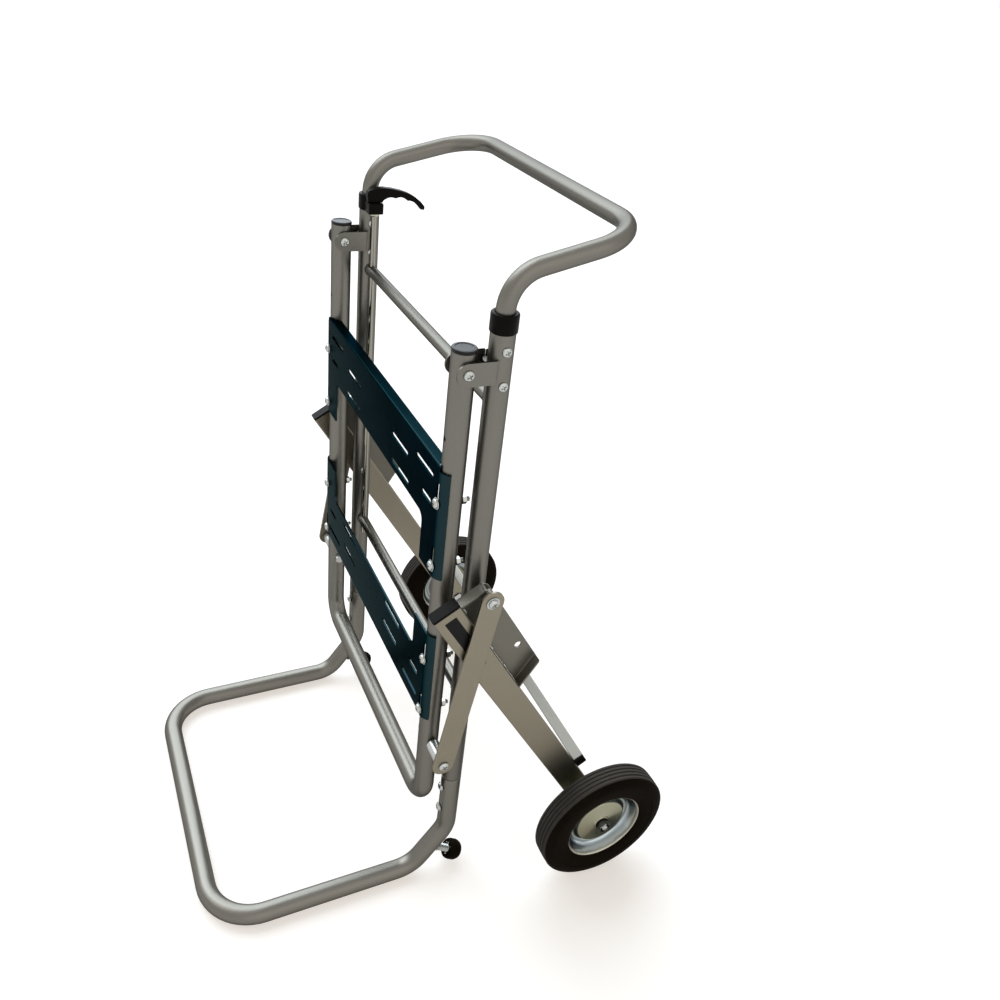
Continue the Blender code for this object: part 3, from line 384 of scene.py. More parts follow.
def corner_arc(before, corner, after, radius, steps):
    """Points of the arc that rounds one corner of a path."""
    back = (before - corner).normalized()
    ahead = (after - corner).normalized()
    inside = back.angle(ahead)
    reach = radius / math.tan(inside / 2)
    centre = corner + (back + ahead).normalized() * radius / math.sin(inside / 2)
    start = corner + back * reach - centre
    axis = (-back).cross(ahead).normalized()
    turn = math.pi - inside
    return [centre + Matrix.Rotation(turn * k / steps, 3, axis) @ start for k in range(steps + 1)]


def rounded(points, radius, steps=4, closed=True):
    """A flat outline of (u, v) pairs with its corners rounded. radius may be one for each corner."""
    flat = [Vector((u, v, 0)) for u, v in points]
    radii = radius if isinstance(radius, (list, tuple)) else [radius] * len(flat)
    found = []
    for k, (corner, bend) in enumerate(zip(flat, radii)):
        at_end = not closed and k in (0, len(flat) - 1)
        if at_end or not bend:
            found.append(corner)
            continue
        found += corner_arc(flat[k - 1], corner, flat[(k + 1) % len(flat)], bend, steps)
    return [(p.x, p.y) for p in found]


def slot_outline(x0, x1, z, width, steps=6):
    """A slot with round ends."""
    half = width / 2
    box = ((x0, z - half), (x1, z - half), (x1, z + half), (x0, z + half))
    return rounded(box, half * 0.98, steps)


def disc_outline(u, v, radius, steps=24):
    turns = [2 * math.pi * k / steps for k in range(steps)]
    return [(u + radius * math.cos(a), v + radius * math.sin(a)) for a in turns]


def pushed(mesh, edges, vec):
    """Extrudes edges by a vector and returns the new ones."""
    made = bmesh.ops.extrude_edge_only(mesh, edges=edges)["geom"]
    verts = {g for g in made if isinstance(g, bmesh.types.BMVert)}
    bmesh.ops.translate(mesh, verts=list(verts), vec=vec)
    return [g for g in made if isinstance(g, bmesh.types.BMEdge) and set(g.verts) <= verts]


def ring_of(mesh, outline, where):
    verts = [mesh.verts.new(where @ Vector((u, v, 0))) for u, v in outline]
    return [mesh.edges.new(pair) for pair in zip(verts, verts[1:] + verts[:1])]


def closed_ends(mesh):
    bmesh.ops.holes_fill(mesh, edges=[edge for edge in mesh.edges if edge.is_boundary], sides=0)
    return mesh


def bent_tube(corners, radii, radius, steps=TUBE_STEPS):
    """Bends a tube: the ring is pushed along each straight and spun round each bend."""
    mesh = bmesh.new()
    edges = ring_of(mesh, disc_outline(0, 0, radius, steps), looking(corners[0], corners[1] - corners[0]))
    at = corners[0]
    for before, corner, after, bend in zip(corners, corners[1:], corners[2:], radii):
        back = (before - corner).normalized()
        ahead = (after - corner).normalized()
        inside = back.angle(ahead)
        start = corner + back * bend / math.tan(inside / 2)
        centre = corner + (back + ahead).normalized() * bend / math.sin(inside / 2)
        edges = pushed(mesh, edges, start - at)
        turn = math.pi - inside
        verts = list({v for edge in edges for v in edge.verts})
        spun = bmesh.ops.spin(
            mesh, geom=verts + edges, cent=centre, axis=(-back).cross(ahead).normalized(),
            angle=turn, steps=math.ceil(turn / BEND_STEP), use_merge=False,
        )
        edges = [g for g in spun["geom_last"] if isinstance(g, bmesh.types.BMEdge)]
        at = corner + ahead * bend / math.tan(inside / 2)
    pushed(mesh, edges, corners[-1] - at)
    return closed_ends(mesh)


def lathe(profile, place, direction, steps=BOLT_STEPS, mesh=None):
    """Spins (radius, height) pairs once round an axis."""
    mesh = mesh or bmesh.new()
    where = looking(place, direction)
    verts = [mesh.verts.new(where @ Vector((radius, 0, height))) for radius, height in profile]
    edges = [mesh.edges.new(pair) for pair in zip(verts, verts[1:])]
    bmesh.ops.spin(
        mesh, geom=verts + edges, cent=place, axis=direction.normalized(),
        angle=2 * math.pi, steps=steps, use_merge=True,
    )
    return mesh


def prism(outline, where, low, high, mesh=None):
    """A flat outline in a plane's own X and Y, drawn out from low to high along its Z."""
    mesh = mesh or bmesh.new()
    verts = [mesh.verts.new(where @ Vector((u, v, low))) for u, v in outline]
    face = mesh.faces.new(verts)
    made = bmesh.ops.extrude_face_region(mesh, geom=[face])["geom"]
    lifted = [g for g in made if isinstance(g, bmesh.types.BMVert)]
    bmesh.ops.translate(mesh, verts=lifted, vec=where.to_3x3() @ Vector((0, 0, high - low)))
    return mesh


def carved(mesh, cutter, operation="DIFFERENCE"):
    """Cuts one closed mesh out of another with a Boolean, and gives the result back as a mesh."""
    objects = []
    for name, shape in (("target", mesh), ("cutter", cutter)):
        bmesh.ops.recalc_face_normals(shape, faces=shape.faces)
        data = bpy.data.meshes.new(name)
        shape.to_mesh(data)
        shape.free()
        objects.append(bpy.data.objects.new(name, data))
        bpy.context.scene.collection.objects.link(objects[-1])
    target, tool = objects
    modifier = target.modifiers.new("cut", "BOOLEAN")
    modifier.operation = operation
    modifier.object = tool
    modifier.solver = "EXACT"
    result = bmesh.new()
    result.from_object(target, bpy.context.evaluated_depsgraph_get())
    for made in objects:
        data = made.data
        bpy.data.objects.remove(made)
        bpy.data.meshes.remove(data)
    return result


def softened(mesh, width=EDGE, segments=2, angle=40):
    """Breaks the sharp edges."""
    bmesh.ops.remove_doubles(mesh, verts=mesh.verts, dist=MERGE)
    limit = math.radians(angle)
    edges = [e for e in mesh.edges if len(e.link_faces) == 2 and e.calc_face_angle(0) > limit]
    bmesh.ops.bevel(
        mesh, geom=edges, offset=width, segments=segments, affect="EDGES", profile=0.5,
        material=-1, clamp_overlap=True,
    )
    return mesh


# Planes in which flat outlines are drawn

FRONT_PLANE = looking(Vector(), -Y_AXIS, X_AXIS)
SIDE_PLANE = looking(Vector(), X_AXIS, Y_AXIS)
LEG_DOWN = (AXLE - LEG_PIVOT)
LEG_DOWN = Vector((0, LEG_DOWN.y, LEG_DOWN.z)).normalized()
LEG_TO_AXLE = Vector((0, AXLE.y - LEG_PIVOT.y, AXLE.z - LEG_PIVOT.z)).length
LEG_PLANE = looking(LEG_PIVOT, X_AXIS, LEG_DOWN)


# Fasteners

HEAD_R = 0.0055
HEAD_H = 0.0028
THREAD_R = 0.003
PIN_R = 0.004
WASHER_H = 0.001
BOLT_PAST = 0.003  # the bracket bolts' ends past their nuts


def pan_head(place, out, radius=HEAD_R, height=HEAD_H):
    """A domed screw head with a cross recess. out points away from the seat."""
    rim = height * 0.28
    dome = [(radius * math.cos(a), rim + (height - rim) * math.sin(a)) for a in (0.0, 0.35, 0.7, 1.05, 1.35)]
    head = lathe([(0, 0), (radius, 0), *dome, (0, height)], place, out)
    bmesh.ops.remove_doubles(head, verts=head.verts, dist=MERGE)
    arm, half = radius * 0.56, radius * 0.13
    cross = (
        (-half, -arm), (half, -arm), (half, -half), (arm, -half), (arm, half), (half, half),
        (half, arm), (-half, arm), (-half, half), (-arm, half), (-arm, -half), (-half, -half),
    )
    turned = Matrix.Rotation(0.5, 4, "Z")
    where = looking(place, out) @ turned
    return carved(head, prism(cross, where, height * 0.3, height * 1.4))


def washer(place, out, radius, hole=THREAD_R, height=WASHER_H):
    soft = min(height, radius) * 0.3
    ring = (
        (hole, 0), (radius - soft, 0), (radius, soft), (radius, height - soft),
        (radius - soft, height), (hole, height),
    )
    return lathe([*ring, ring[0]], place, out)


def hex_nut(place, out, radius=THREAD_R, height=0.0048):
    """A hexagon nut with chamfered corners."""
    across = radius * 1.85
    corners = [(across * math.cos(math.pi * k / 3), across * math.sin(math.pi * k / 3)) for k in range(6)]
    nut = prism(corners, looking(place, out), 0, height)
    drop = (across - radius * 1.5) * 0.6
    low, wide = across * 0.93, across * 1.02
    limit = [(0, 0), (low, 0), (wide, drop), (wide, height - drop), (low, height), (0, height)]
    return carved(nut, lathe(limit, place, out), "INTERSECT")


def stud_end(place, out, start, end, radius=THREAD_R, pitch=0.001, root=0.88):
    """A threaded end: a ridge for each turn."""
    profile = [(0, start)]
    turns = max(2, round((end - start) / pitch))
    step = (end - start) / turns
    for k in range(turns):
        low = start + step * k
        profile += [(radius * root, low + step * 0.1), (radius, low + step * 0.45), (radius, low + step * 0.6)]
    profile += [(radius * 0.8, end), (0, end)]
    return lathe(profile, place, out, 20)


def screw_set(
    node, place, out, length, rider, radius=HEAD_R, height=HEAD_H, nut=True, thread=THREAD_R, ring=0.0, past=0.0,
):
    """A screw's head at a place, on its washer, and its nut on the far side of what it clamps."""
    seat = place
    if ring:
        piece(f"{node}_washer", washer(place, out, ring), ZINC, rider)
        seat = place + out * WASHER_H
    piece(f"{node}_head", pan_head(seat, out, radius, height), ZINC, rider, (node,), 40)
    if not nut:
        return
    far = place - out * length
    nut_height = thread * 1.6
    piece(f"{node}_nut", hex_nut(far, -out, thread, nut_height), ZINC, rider)
    piece(f"{node}_end", stud_end(far, -out, 0, nut_height + thread * 0.5 + past, thread), ZINC, rider)


def screws():
    seat = TUBE_R + GAP
    for side, s in SIDES:
        for place, _ in ENDS:
            node = f"handle_screw_{side}_{place}"
            at = Vector((UPRIGHT_X * s + seat, UPRIGHT_Y, middle(node).z))
            screw_set(node, at, X_AXIS, 2 * seat, "rear_frame")
            node = f"base_screw_{side}_{place}"
            at = Vector((UPRIGHT_X * s, UPRIGHT_Y - seat, middle(node).z))
            screw_set(node, at, -Y_AXIS, 2 * seat, "rear_frame", 0.0056, 0.003, nut=False, ring=0.0068)
        node = f"hinge_bolt_{side}"
        low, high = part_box("clevis_" + side)
        at = Vector((high.x, HINGE.y, HINGE.z))
        screw_set(node, at, X_AXIS, high.x - low.x, "rear_frame", 0.0062, 0.0036)
        for rail in ("upper", "lower"):
            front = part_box(f"{rail}_bracket")[0].y
            for end in ("top", "bottom"):
                node = f"{rail}_bracket_bolt_{side}_{end}"
                at = Vector((TOOL_X * s, front, middle(node).z))
                reach = TOOL_Y + seat - front
                screw_set(node, at, -Y_AXIS, reach, "tool_frame", 0.0060, 0.0038, ring=0.0074, past=BOLT_PAST)


# Tubes

BASE_BEND_R = 0.045
BASE_CORNER_R = 0.07
SLANT_TOP_Z = 0.086
HANDLE_KNEE_R = 0.046
HANDLE_KNEE_Z = 0.9335
GRIP_CORNER_R = 0.06
TOOL_CORNER_R = 0.035
TOOL_HOLE_Z = 0.7525
SEAM_OPEN = 0.001  # the joint between upright and base at the swaged end, left open; a black disc inside it is painted shade


def both_sides(points):
    """A path down the right side, mirrored up the left."""
    mirror = Matrix.Scale(-1, 3, X_AXIS)
    return points + [mirror @ point for point in reversed(points)]


def base_loop():
    low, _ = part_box("base_tube")
    run = (SLANT_TOP_Z - TUBE_R) * math.tan(FOLD)
    corners = both_sides([
        Vector((UPRIGHT_X, UPRIGHT_Y, SEAM_Z)),
        Vector((UPRIGHT_X, UPRIGHT_Y, SLANT_TOP_Z)),
        Vector((UPRIGHT_X, UPRIGHT_Y - run, TUBE_R)),
        Vector((UPRIGHT_X, low.y + TUBE_R, TUBE_R)),
    ])
    radii = (BASE_BEND_R, BASE_BEND_R, BASE_CORNER_R, BASE_CORNER_R, BASE_BEND_R, BASE_BEND_R)
    mesh = softened(bent_tube(corners, radii, TUBE_R), 0.0008, 3, 60)
    piece("base_loop", mesh, SILVER, "rear_frame", ("base_tube",))


def handle_loop():
    low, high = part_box("push_handle")
    corners = both_sides([
        Vector((UPRIGHT_X, UPRIGHT_Y, low.z)),
        Vector((UPRIGHT_X, UPRIGHT_Y, HANDLE_KNEE_Z)),
        Vector((UPRIGHT_X, high.y - HANDLE_R, high.z - HANDLE_R)),
    ])
    radii = (HANDLE_KNEE_R, GRIP_CORNER_R, GRIP_CORNER_R, HANDLE_KNEE_R)
    piece("handle_loop", bent_tube(corners, radii, HANDLE_R), SILVER, "rear_frame", ("push_handle",))


def tool_loop():
    low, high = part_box("tool_frame_tube")
    corners = both_sides([
        Vector((TOOL_X, TOOL_Y, high.z)),
        Vector((TOOL_X, TOOL_Y, low.z + TUBE_R)),
    ])
    mesh = bent_tube(corners, (TOOL_CORNER_R, TOOL_CORNER_R), TUBE_R)
    holes = bmesh.new()
    for _, s in SIDES:
        spot = Vector((TOOL_X * s, TOOL_Y - TUBE_R - 0.002, TOOL_HOLE_Z))
        lathe([(0, 0), (0.003, 0), (0.003, 0.009), (0, 0.009)], spot, Y_AXIS, 20, holes)
    mesh = carved(mesh, holes)
    piece("tool_loop", mesh, SILVER, "tool_frame", ("tool_frame_tube",))


def uprights():
    for side, s in SIDES:
        foot = Vector((UPRIGHT_X * s, UPRIGHT_Y, 0))
        corners = [foot + Z_AXIS * (SEAM_Z + SEAM_OPEN), foot + Z_AXIS * UPRIGHT_TOP]
        mesh = softened(bent_tube(corners, (), TUBE_R), 0.0008, 3, 60)
        piece(f"upright_tube_{side}", mesh, SILVER, "rear_frame", (f"upright_{side}",))
        # A black disc inside the open joint is painted shade: it darkens the gap where the upright meets the base.
        reach = TUBE_R - SEAM_OPEN * 2
        shade_disc = lathe(((0, 0), (reach, 0), (reach, 0.02), (0, 0.02)), foot + Z_AXIS * (SEAM_Z - 0.01), Z_AXIS)
        piece(f"seam_shade_disc_{side}", shade_disc, BLACK, "rear_frame")


def weld_bead(name, place, direction, radius, rider, thick=0.0016):
    """A lumpy bead of weld round a tube's end."""
    ring = disc_outline(radius, 0, thick, 6)
    mesh = lathe([*ring, ring[0]], place, direction, TUBE_STEPS)
    for vert in mesh.verts:
        offset = vert.co - place
        across = (offset - direction * offset.dot(direction)).normalized() * radius
        vert.co += (offset - across) * 0.35 * noise.noise(vert.co * 400)
    piece(name, mesh, SILVER, rider)


def cross_bars():
    for place, _ in ENDS:
        node = f"cross_tube_{place}"
        z = middle(node).z
        ends = [Vector((x * (UPRIGHT_X - TUBE_R * 0.8), UPRIGHT_Y, z)) for x in (-1, 1)]
        piece(f"cross_bar_{place}", bent_tube(ends, (), CROSS_R), SILVER, "rear_frame", (node,))
        for side, s in SIDES:
            at = Vector(((UPRIGHT_X - TUBE_R) * s, UPRIGHT_Y, z))
            weld_bead(f"cross_bar_weld_{place}_{side}", at, X_AXIS * s, CROSS_R, "rear_frame")


# Black mouldings

def collar(side, s):
    low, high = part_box("collar_right")
    radius = extent("collar_right").x / 2
    seat = UPRIGHT_TOP + GAP
    top = high.z - seat
    bore = HANDLE_R + GAP
    outline = [(bore, 0), (radius, 0), (radius, top), (bore, top)]
    profile = rounded(outline, [0, 0.0012, 0.0022, 0.0008])
    foot = Vector((UPRIGHT_X * s, UPRIGHT_Y, seat))
    return lathe([*profile, profile[0]], foot, Z_AXIS, TUBE_STEPS)


def lever_block():
    """The block beside the left collar that guides the rod."""
    low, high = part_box("collar_left")
    rod = middle("release_rod")
    seat = UPRIGHT_TOP + GAP
    half = 0.0105
    back = UPRIGHT_X * -1 + HANDLE_R + GAP * 2
    outline = ((back, -half), (rod.x + half, -half), (rod.x + half, half), (back, half))
    rounds = [0.0005, 0.003, 0.003, 0.0005]
    shape = rounded(outline, rounds)
    where = Matrix.Translation((0, UPRIGHT_Y, 0))
    return softened(prism(shape, where, seat - 0.0004, LEVER_PIN.z - 0.004), 0.0008)


def collars():
    for side, s in SIDES:
        piece(f"collar_moulding_{side}", collar(side, s), BLACK, "rear_frame", (f"collar_{side}",))
    piece("lever_block", lever_block(), BLACK, "rear_frame")


def tube_caps():
    for side, s in SIDES:
        low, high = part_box(f"tube_cap_{side}")
        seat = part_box("tool_frame_tube")[1].z
        radius = (high.x - low.x) / 2
        rise = high.z - seat
        rim = (
            (0, 0), (radius - 0.0004, 0), (radius, 0.0006), (radius, rise * 0.62), (radius * 0.95, rise * 0.9),
            (radius * 0.86, rise), (radius * 0.74, rise), (radius * 0.7, rise * 0.86), (0, rise * 0.82),
        )
        moulding = lathe(rim, Vector((TOOL_X * s, TOOL_Y, seat)), Z_AXIS, TUBE_STEPS)
        piece(f"tube_cap_moulding_{side}", moulding, CAP_BLACK, "tool_frame", (f"tube_cap_{side}",))


# Sheet metal

def clevises():
    """Folded channels: a saddle that hugs the upright, cut low for the tube's swing, and two round ears."""
    thick = 0.003
    for side, s in SIDES:
        low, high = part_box(f"clevis_{side}")
        nose = (high.z - low.z) / 2
        centre = (low.x + high.x) / 2
        half = (high.x - low.x) / 2
        front, back = HINGE.y - nose, UPRIGHT_Y - EAR_SHORT
        outline = [(-half, front), (-half, back), (half, back), (half, front)]
        inner = [(half - thick, front), (half - thick, back), (thick - half, back), (thick - half, front)]
        where = Matrix.Translation((centre, 0, 0))
        ears = prism(outline + inner, where, low.z, high.z)
        seat = TUBE_R + GAP
        turns = [math.pi * (1.12 + 0.76 * k / 24) for k in range(25)]
        rings = [[(r * math.cos(a), UPRIGHT_Y + r * math.sin(a)) for a in turns] for r in (seat, seat + thick)]
        saddle = prism(rings[0] + rings[1][::-1], where, low.z, high.z)
        sheet = carved(ears, saddle, "UNION")
        profile = ((front, low.z), (back + thick, low.z), (back + thick, high.z), (front, high.z))
        shape = rounded(profile, [nose * 0.995, 0, 0, nose * 0.995], 14)
        sheet = carved(sheet, prism(shape, SIDE_PLANE, centre - half - thick, centre + half + thick), "INTERSECT")
        inside = half - thick
        web = UPRIGHT_Y - seat - thick - GAP
        relief = ((-inside, web), (inside, web), (inside, UPRIGHT_Y), (-inside, UPRIGHT_Y))
        above = prism(relief, where, HINGE.z + CLEVIS_WEB_UP, high.z + thick)
        node = f"clevis_{side}"
        piece(f"clevis_sheet_{side}", softened(carved(sheet, above)), SILVER, "rear_frame", (node,), planar=True)


CLEVIS_WEB_UP = 0.0075
EAR_SHORT = 0.0095  # the ears end this far in front of the uprights' axes
RAIL_H = 0.088
BRACKET_TAB = 0.040
BRACKET_FLANGE = 0.014
FLANGE_STOP = 0.0176
TAB_RELIEF = 0.0065
TAB_RELIEF_OUT = 0.001
SLOT_W = 0.0066
BOLT_SLOT_UP = 0.028
WRAP = math.radians(60)
SLOT_SHARES = ((0.288, 0.562, 0.455), (0.671, 0.930, 0.255), (0.300, 0.594, 0.865), (0.780, 0.925, 0.660))


def wrap_arc(s, radius, start, end, steps=10):
    turns = [start + (end - start) * k / steps for k in range(steps + 1)]
    return [(TOOL_X * s + radius * math.cos(a), TOOL_Y + radius * math.sin(a)) for a in turns]


def bracket(rail, away):
    """One folded sheet: a slotted rail, a mitred flange along its edge and a tab round each tube."""
    node = f"{rail}_bracket"
    low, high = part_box(node)
    edge_z, tab_z = (high.z, low.z) if away < 0 else (low.z, high.z)
    front, back = TUBE_R + GAP + SHEET, TUBE_R + GAP
    down = -math.pi / 2
    outline = wrap_arc(1, front, down, down + WRAP) + wrap_arc(1, back, down + WRAP, down)
    outline += wrap_arc(-1, back, down, down - WRAP) + wrap_arc(-1, front, down - WRAP, down)
    sheet = prism(outline, Matrix(), low.z, high.z)
    face, flange_end = low.y, low.y + BRACKET_FLANGE
    short = TOOL_X - FLANGE_STOP
    long = short + BRACKET_FLANGE
    mitred = ((-long, face), (long, face), (short, flange_end), (-short, flange_end))
    levels = sorted((edge_z, edge_z + away * SHEET))
    sheet = carved(sheet, prism(mitred, Matrix(), *levels), "UNION")
    inner_x = TOOL_X - BRACKET_TAB
    rail_z = edge_z + away * RAIL_H
    past = tab_z + away * 0.01
    window = ((-inner_x, rail_z), (inner_x, rail_z), (inner_x, past), (-inner_x, past))
    cuts = prism(rounded(window, [0.012, 0.012, 0, 0], 8), FRONT_PLANE, 0, 0.1)
    for side, s in SIDES:
        for start, end, depth in SLOT_SHARES:
            x0, x1 = sorted((TOOL_X * start * s, TOOL_X * end * s))
            prism(slot_outline(x0, x1, edge_z + away * RAIL_H * depth, SLOT_W), FRONT_PLANE, 0, 0.1, cuts)
        for end in ("top", "bottom"):
            z = middle(f"{rail}_bracket_bolt_{side}_{end}").z
            x0, x1 = TOOL_X * s - SLOT_W / 2, TOOL_X * s + SLOT_W / 2
            shape = ((x0, z - SLOT_W / 2), (x1, z - SLOT_W / 2), (x1, z + BOLT_SLOT_UP), (x0, z + BOLT_SLOT_UP))
            prism(rounded(shape, SLOT_W * 0.49, 6), FRONT_PLANE, 0, 0.1, cuts)
        if away < 0:
            x0, x1 = (TOOL_X + TAB_RELIEF_OUT) * s, (TOOL_X + front * 2) * s
            under, over = edge_z - TAB_RELIEF, edge_z + SHEET
            notch = ((x0, under), (x1, under), (x1, over), (x0, over))
            prism(notch, FRONT_PLANE, 0, 0.1, cuts)
    sheet = carved(sheet, cuts)
    fold = [
        edge for edge in sheet.edges
        if all(
            abs(v.co.z - edge_z) < MERGE and abs(v.co.y - face) < MERGE and abs(v.co.x) < TOOL_X + MERGE
            for v in edge.verts
        )
    ]
    bmesh.ops.bevel(
        sheet, geom=fold, offset=SHEET * 0.9, segments=6, affect="EDGES", profile=0.5, material=-1,
    )
    return softened(sheet, 0.0003)


def brackets():
    for rail, away in (("upper", -1), ("lower", 1)):
        node = f"{rail}_bracket"
        piece(f"{rail}_rail", bracket(rail, away), TEAL, "tool_frame", (node,), planar=True)


# Links and legs

LINK_HALF = 0.015


def links():
    for side, s in SIDES:
        low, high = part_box(f"link_{side}")
        top = Vector((0, LINK_TOP.y, LINK_TOP.z))
        foot = Vector((0, LINK_LOW.y, LINK_LOW.z))
        where = looking(foot, X_AXIS, top - foot)
        length = (top - foot).length
        half, end = LINK_HALF, length + LINK_HALF
        shape = rounded(((-half, -half), (end, -half), (end, half), (-half, half)), half * 0.995, 16)
        bar = softened(prism(shape, where, low.x, high.x), 0.0006, 3)
        rider = f"{side}_link"
        out = X_AXIS * s
        # The bar takes the lighter copy of the silver coat: painted light on its lit outer faces.
        piece(f"link_bar_{side}", bar, SILVER_PAINTED_LIGHTER, rider, (f"link_{side}",), planar=True)
        face = (high.x if s > 0 else low.x) + GAP * s
        at = Vector((face, LINK_TOP.y, LINK_TOP.z))
        piece(f"link_top_washer_{side}", washer(at, out, 0.0085, PIN_R), ZINC, rider)
        head = pan_head(at + out * WASHER_H, out, 0.0062, 0.0038)
        piece(f"link_top_head_{side}", head, ZINC, rider, (f"link_top_bolt_{side}",), 40)
        at = Vector((face, LINK_LOW.y, LINK_LOW.z))
        head = pan_head(at, out, 0.0068, 0.0040)
        piece(f"link_low_head_{side}", head, ZINC, "tool_frame", (f"link_bolt_{side}",), 40)
        near = Vector(((TOOL_X - TUBE_R - GAP) * s, LINK_LOW.y, LINK_LOW.z))
        piece(f"link_low_nut_{side}", hex_nut(near, -out, PIN_R, 0.0064), ZINC, "tool_frame")
        node = f"link_spacer_{side}"
        start = Vector(((TOOL_X + TUBE_R + GAP) * s, LINK_LOW.y, LINK_LOW.z))
        spacer = washer(start, out, extent(node).z / 2, PIN_R, extent(node).x)
        piece(f"spacer_tube_{side}", spacer, ZINC, "tool_frame", (node,))


LEG_HALF = 0.019
LEG_TOP = 0.1024
LEG_PAST = 0.018
LEG_CAP_H = 0.0033
PLATE_REACH = 0.061
PLATE_LENGTH = 0.1873
PLATE_LEAN_SHARE = 0.5
PLATE_FLANGE = 0.0165
PLATE_HOLE = (0.0282, 0.0492)
PLATE_HOLE_R = 0.0048
WELD_NUT_R = 0.008
WELD_NUT_H = 0.006
LEG_ACROSS = Vector((0, -LEG_DOWN.z, LEG_DOWN.y))
LEG_FLAT = Matrix.Translation(LEG_PIVOT) @ Matrix((LEG_DOWN, LEG_ACROSS, X_AXIS)).transposed().to_4x4()


def leg_side(side, s):
    half = (LEG_OUT_X - LEG_IN_X) / 2
    start = LEG_PIVOT + X_AXIS * (LEG_OUT_X - half) * s - LEG_DOWN * LEG_TOP
    along = looking(start, LEG_DOWN, X_AXIS)

    def section(inset, radius, steps):
        w, h = half - inset, LEG_HALF - inset
        return rounded(((-w, -h), (w, -h), (w, h), (-w, h)), radius, steps)

    length = LEG_TOP + LEG_TO_AXLE + LEG_PAST
    outer = prism(section(0, 0.0022, 5), along, 0, length)
    bored = carved(outer, prism(section(TUBE_WALL, 0.001, 3), along, length - 0.06, length + 0.01))
    # The leg takes the lighter copy of the silver coat: painted light on its lit outer faces.
    piece(f"leg_tube_{side}", softened(bored, 0.0003), SILVER_PAINTED_LIGHTER, "wheel_legs", (f"leg_{side}",), planar=True)
    cap = softened(prism(section(0, 0.0022, 5), along, -LEG_CAP_H, -GAP), 0.0007, 3)
    piece(f"leg_cap_moulding_{side}", cap, BLACK, "wheel_legs", (f"leg_cap_{side}",), planar=True)


WELD_STITCHES = (-0.080, -0.040, 0.004, 0.048)


def leg_plate(side, s):
    """The folded channel beside the leg, open outwards, with a boss for the link's pin."""
    back, out = LEG_OUT_X - PLATE_FLANGE, LEG_OUT_X
    web = back + SHEET
    start, end = -LEG_TOP, -LEG_TOP + PLATE_LENGTH
    beside = LEG_HALF + GAP
    bend = SHEET * 1.4
    outer = ((out, start), (back, start), (back, end), (out, end))
    inner = ((out, end - SHEET), (web, end - SHEET), (web, start + SHEET), (out, start + SHEET))
    rounds = bend - SHEET * 0.9
    shape = rounded(outer, [0, bend, bend, 0], 6) + rounded(inner, [0, rounds, rounds, 0], 4)
    where = Matrix.Translation(LEG_PIVOT) @ Matrix((X_AXIS, LEG_DOWN, LEG_ACROSS)).transposed().to_4x4()
    sheet = prism([(x * s, a) for x, a in shape], where, beside, PLATE_REACH)
    for vert in sheet.verts:
        offset = vert.co - LEG_PIVOT
        if offset.dot(LEG_DOWN) > 0:
            vert.co -= LEG_DOWN * ((offset.dot(LEG_ACROSS) - beside) * PLATE_LEAN_SHARE)
    lean = (PLATE_REACH - beside) * PLATE_LEAN_SHARE
    corners = (
        (start, 0), (end + beside * PLATE_LEAN_SHARE, 0), (end - lean, PLATE_REACH), (start, PLATE_REACH),
    )
    near, far = sorted((back * s * 0.9, out * s * 1.1))
    keep = prism(rounded(corners, [0, 0, 0.006, 0.012], 10), LEG_FLAT, near, far)
    sheet = carved(sheet, keep, "INTERSECT")
    pin = LINK_TOP - LEG_PIVOT
    pin_at = (pin.dot(LEG_DOWN), pin.dot(LEG_ACROSS))
    boss = prism(disc_outline(*pin_at, WELD_NUT_R, 32), LEG_FLAT, *sorted(((back - WELD_NUT_H) * s, out * s)))
    sheet = carved(sheet, boss, "UNION")
    cuts = prism(disc_outline(*PLATE_HOLE, PLATE_HOLE_R), LEG_FLAT, near, far)
    prism(disc_outline(*pin_at, PIN_R + GAP), LEG_FLAT, near, far, cuts)
    sheet = softened(carved(sheet, cuts), 0.0004)
    piece(f"leg_plate_sheet_{side}", sheet, PLATE_SILVER, "wheel_legs", (f"leg_plate_{side}",), planar=True)
    for k, along in enumerate(WELD_STITCHES):
        at = LEG_PIVOT + X_AXIS * (web + 0.0006) * s + LEG_DOWN * along + LEG_ACROSS * (LEG_HALF + 0.0006)
        piece(f"plate_weld_{side}_{k}", stitch_weld(at, LEG_DOWN), ZINC, "wheel_legs")


def stitch_weld(place, along, length=0.011, thick=0.0017):
    """A short lumpy bead of weld laid along a seam."""
    mesh = bmesh.new()
    where = looking(place, along) @ Matrix.Diagonal((thick, thick, length / 2, 1))
    bmesh.ops.create_icosphere(mesh, subdivisions=3, radius=1, matrix=where)
    for vert in mesh.verts:
        vert.co += (vert.co - place) * 0.25 * noise.noise(vert.co * 700)
    return mesh


def spreader():
    size = 0.016
    along = LEG_TO_AXLE - 0.107
    centre = LEG_PIVOT + LEG_DOWN * along + LEG_ACROSS * (LEG_HALF + GAP + size / 2)
    where = Matrix.Translation(centre) @ Matrix((LEG_DOWN, LEG_ACROSS, X_AXIS)).transposed().to_4x4()
    half = size / 2
    box = rounded(((-half, -half), (half, -half), (half, half), (-half, half)), 0.0012, 4)
    bar = prism(box, where, -LEG_OUT_X, LEG_OUT_X)
    piece("spreader_tube", bar, SILVER, "wheel_legs", ("spreader_bar",), planar=True)
    for side, s in SIDES:
        cap = prism(box, where, (LEG_OUT_X + GAP) * s, (LEG_OUT_X + 0.003) * s)
        piece(f"spreader_cap_{side}", softened(cap, 0.0006, 3), BLACK, "wheel_legs", planar=True)


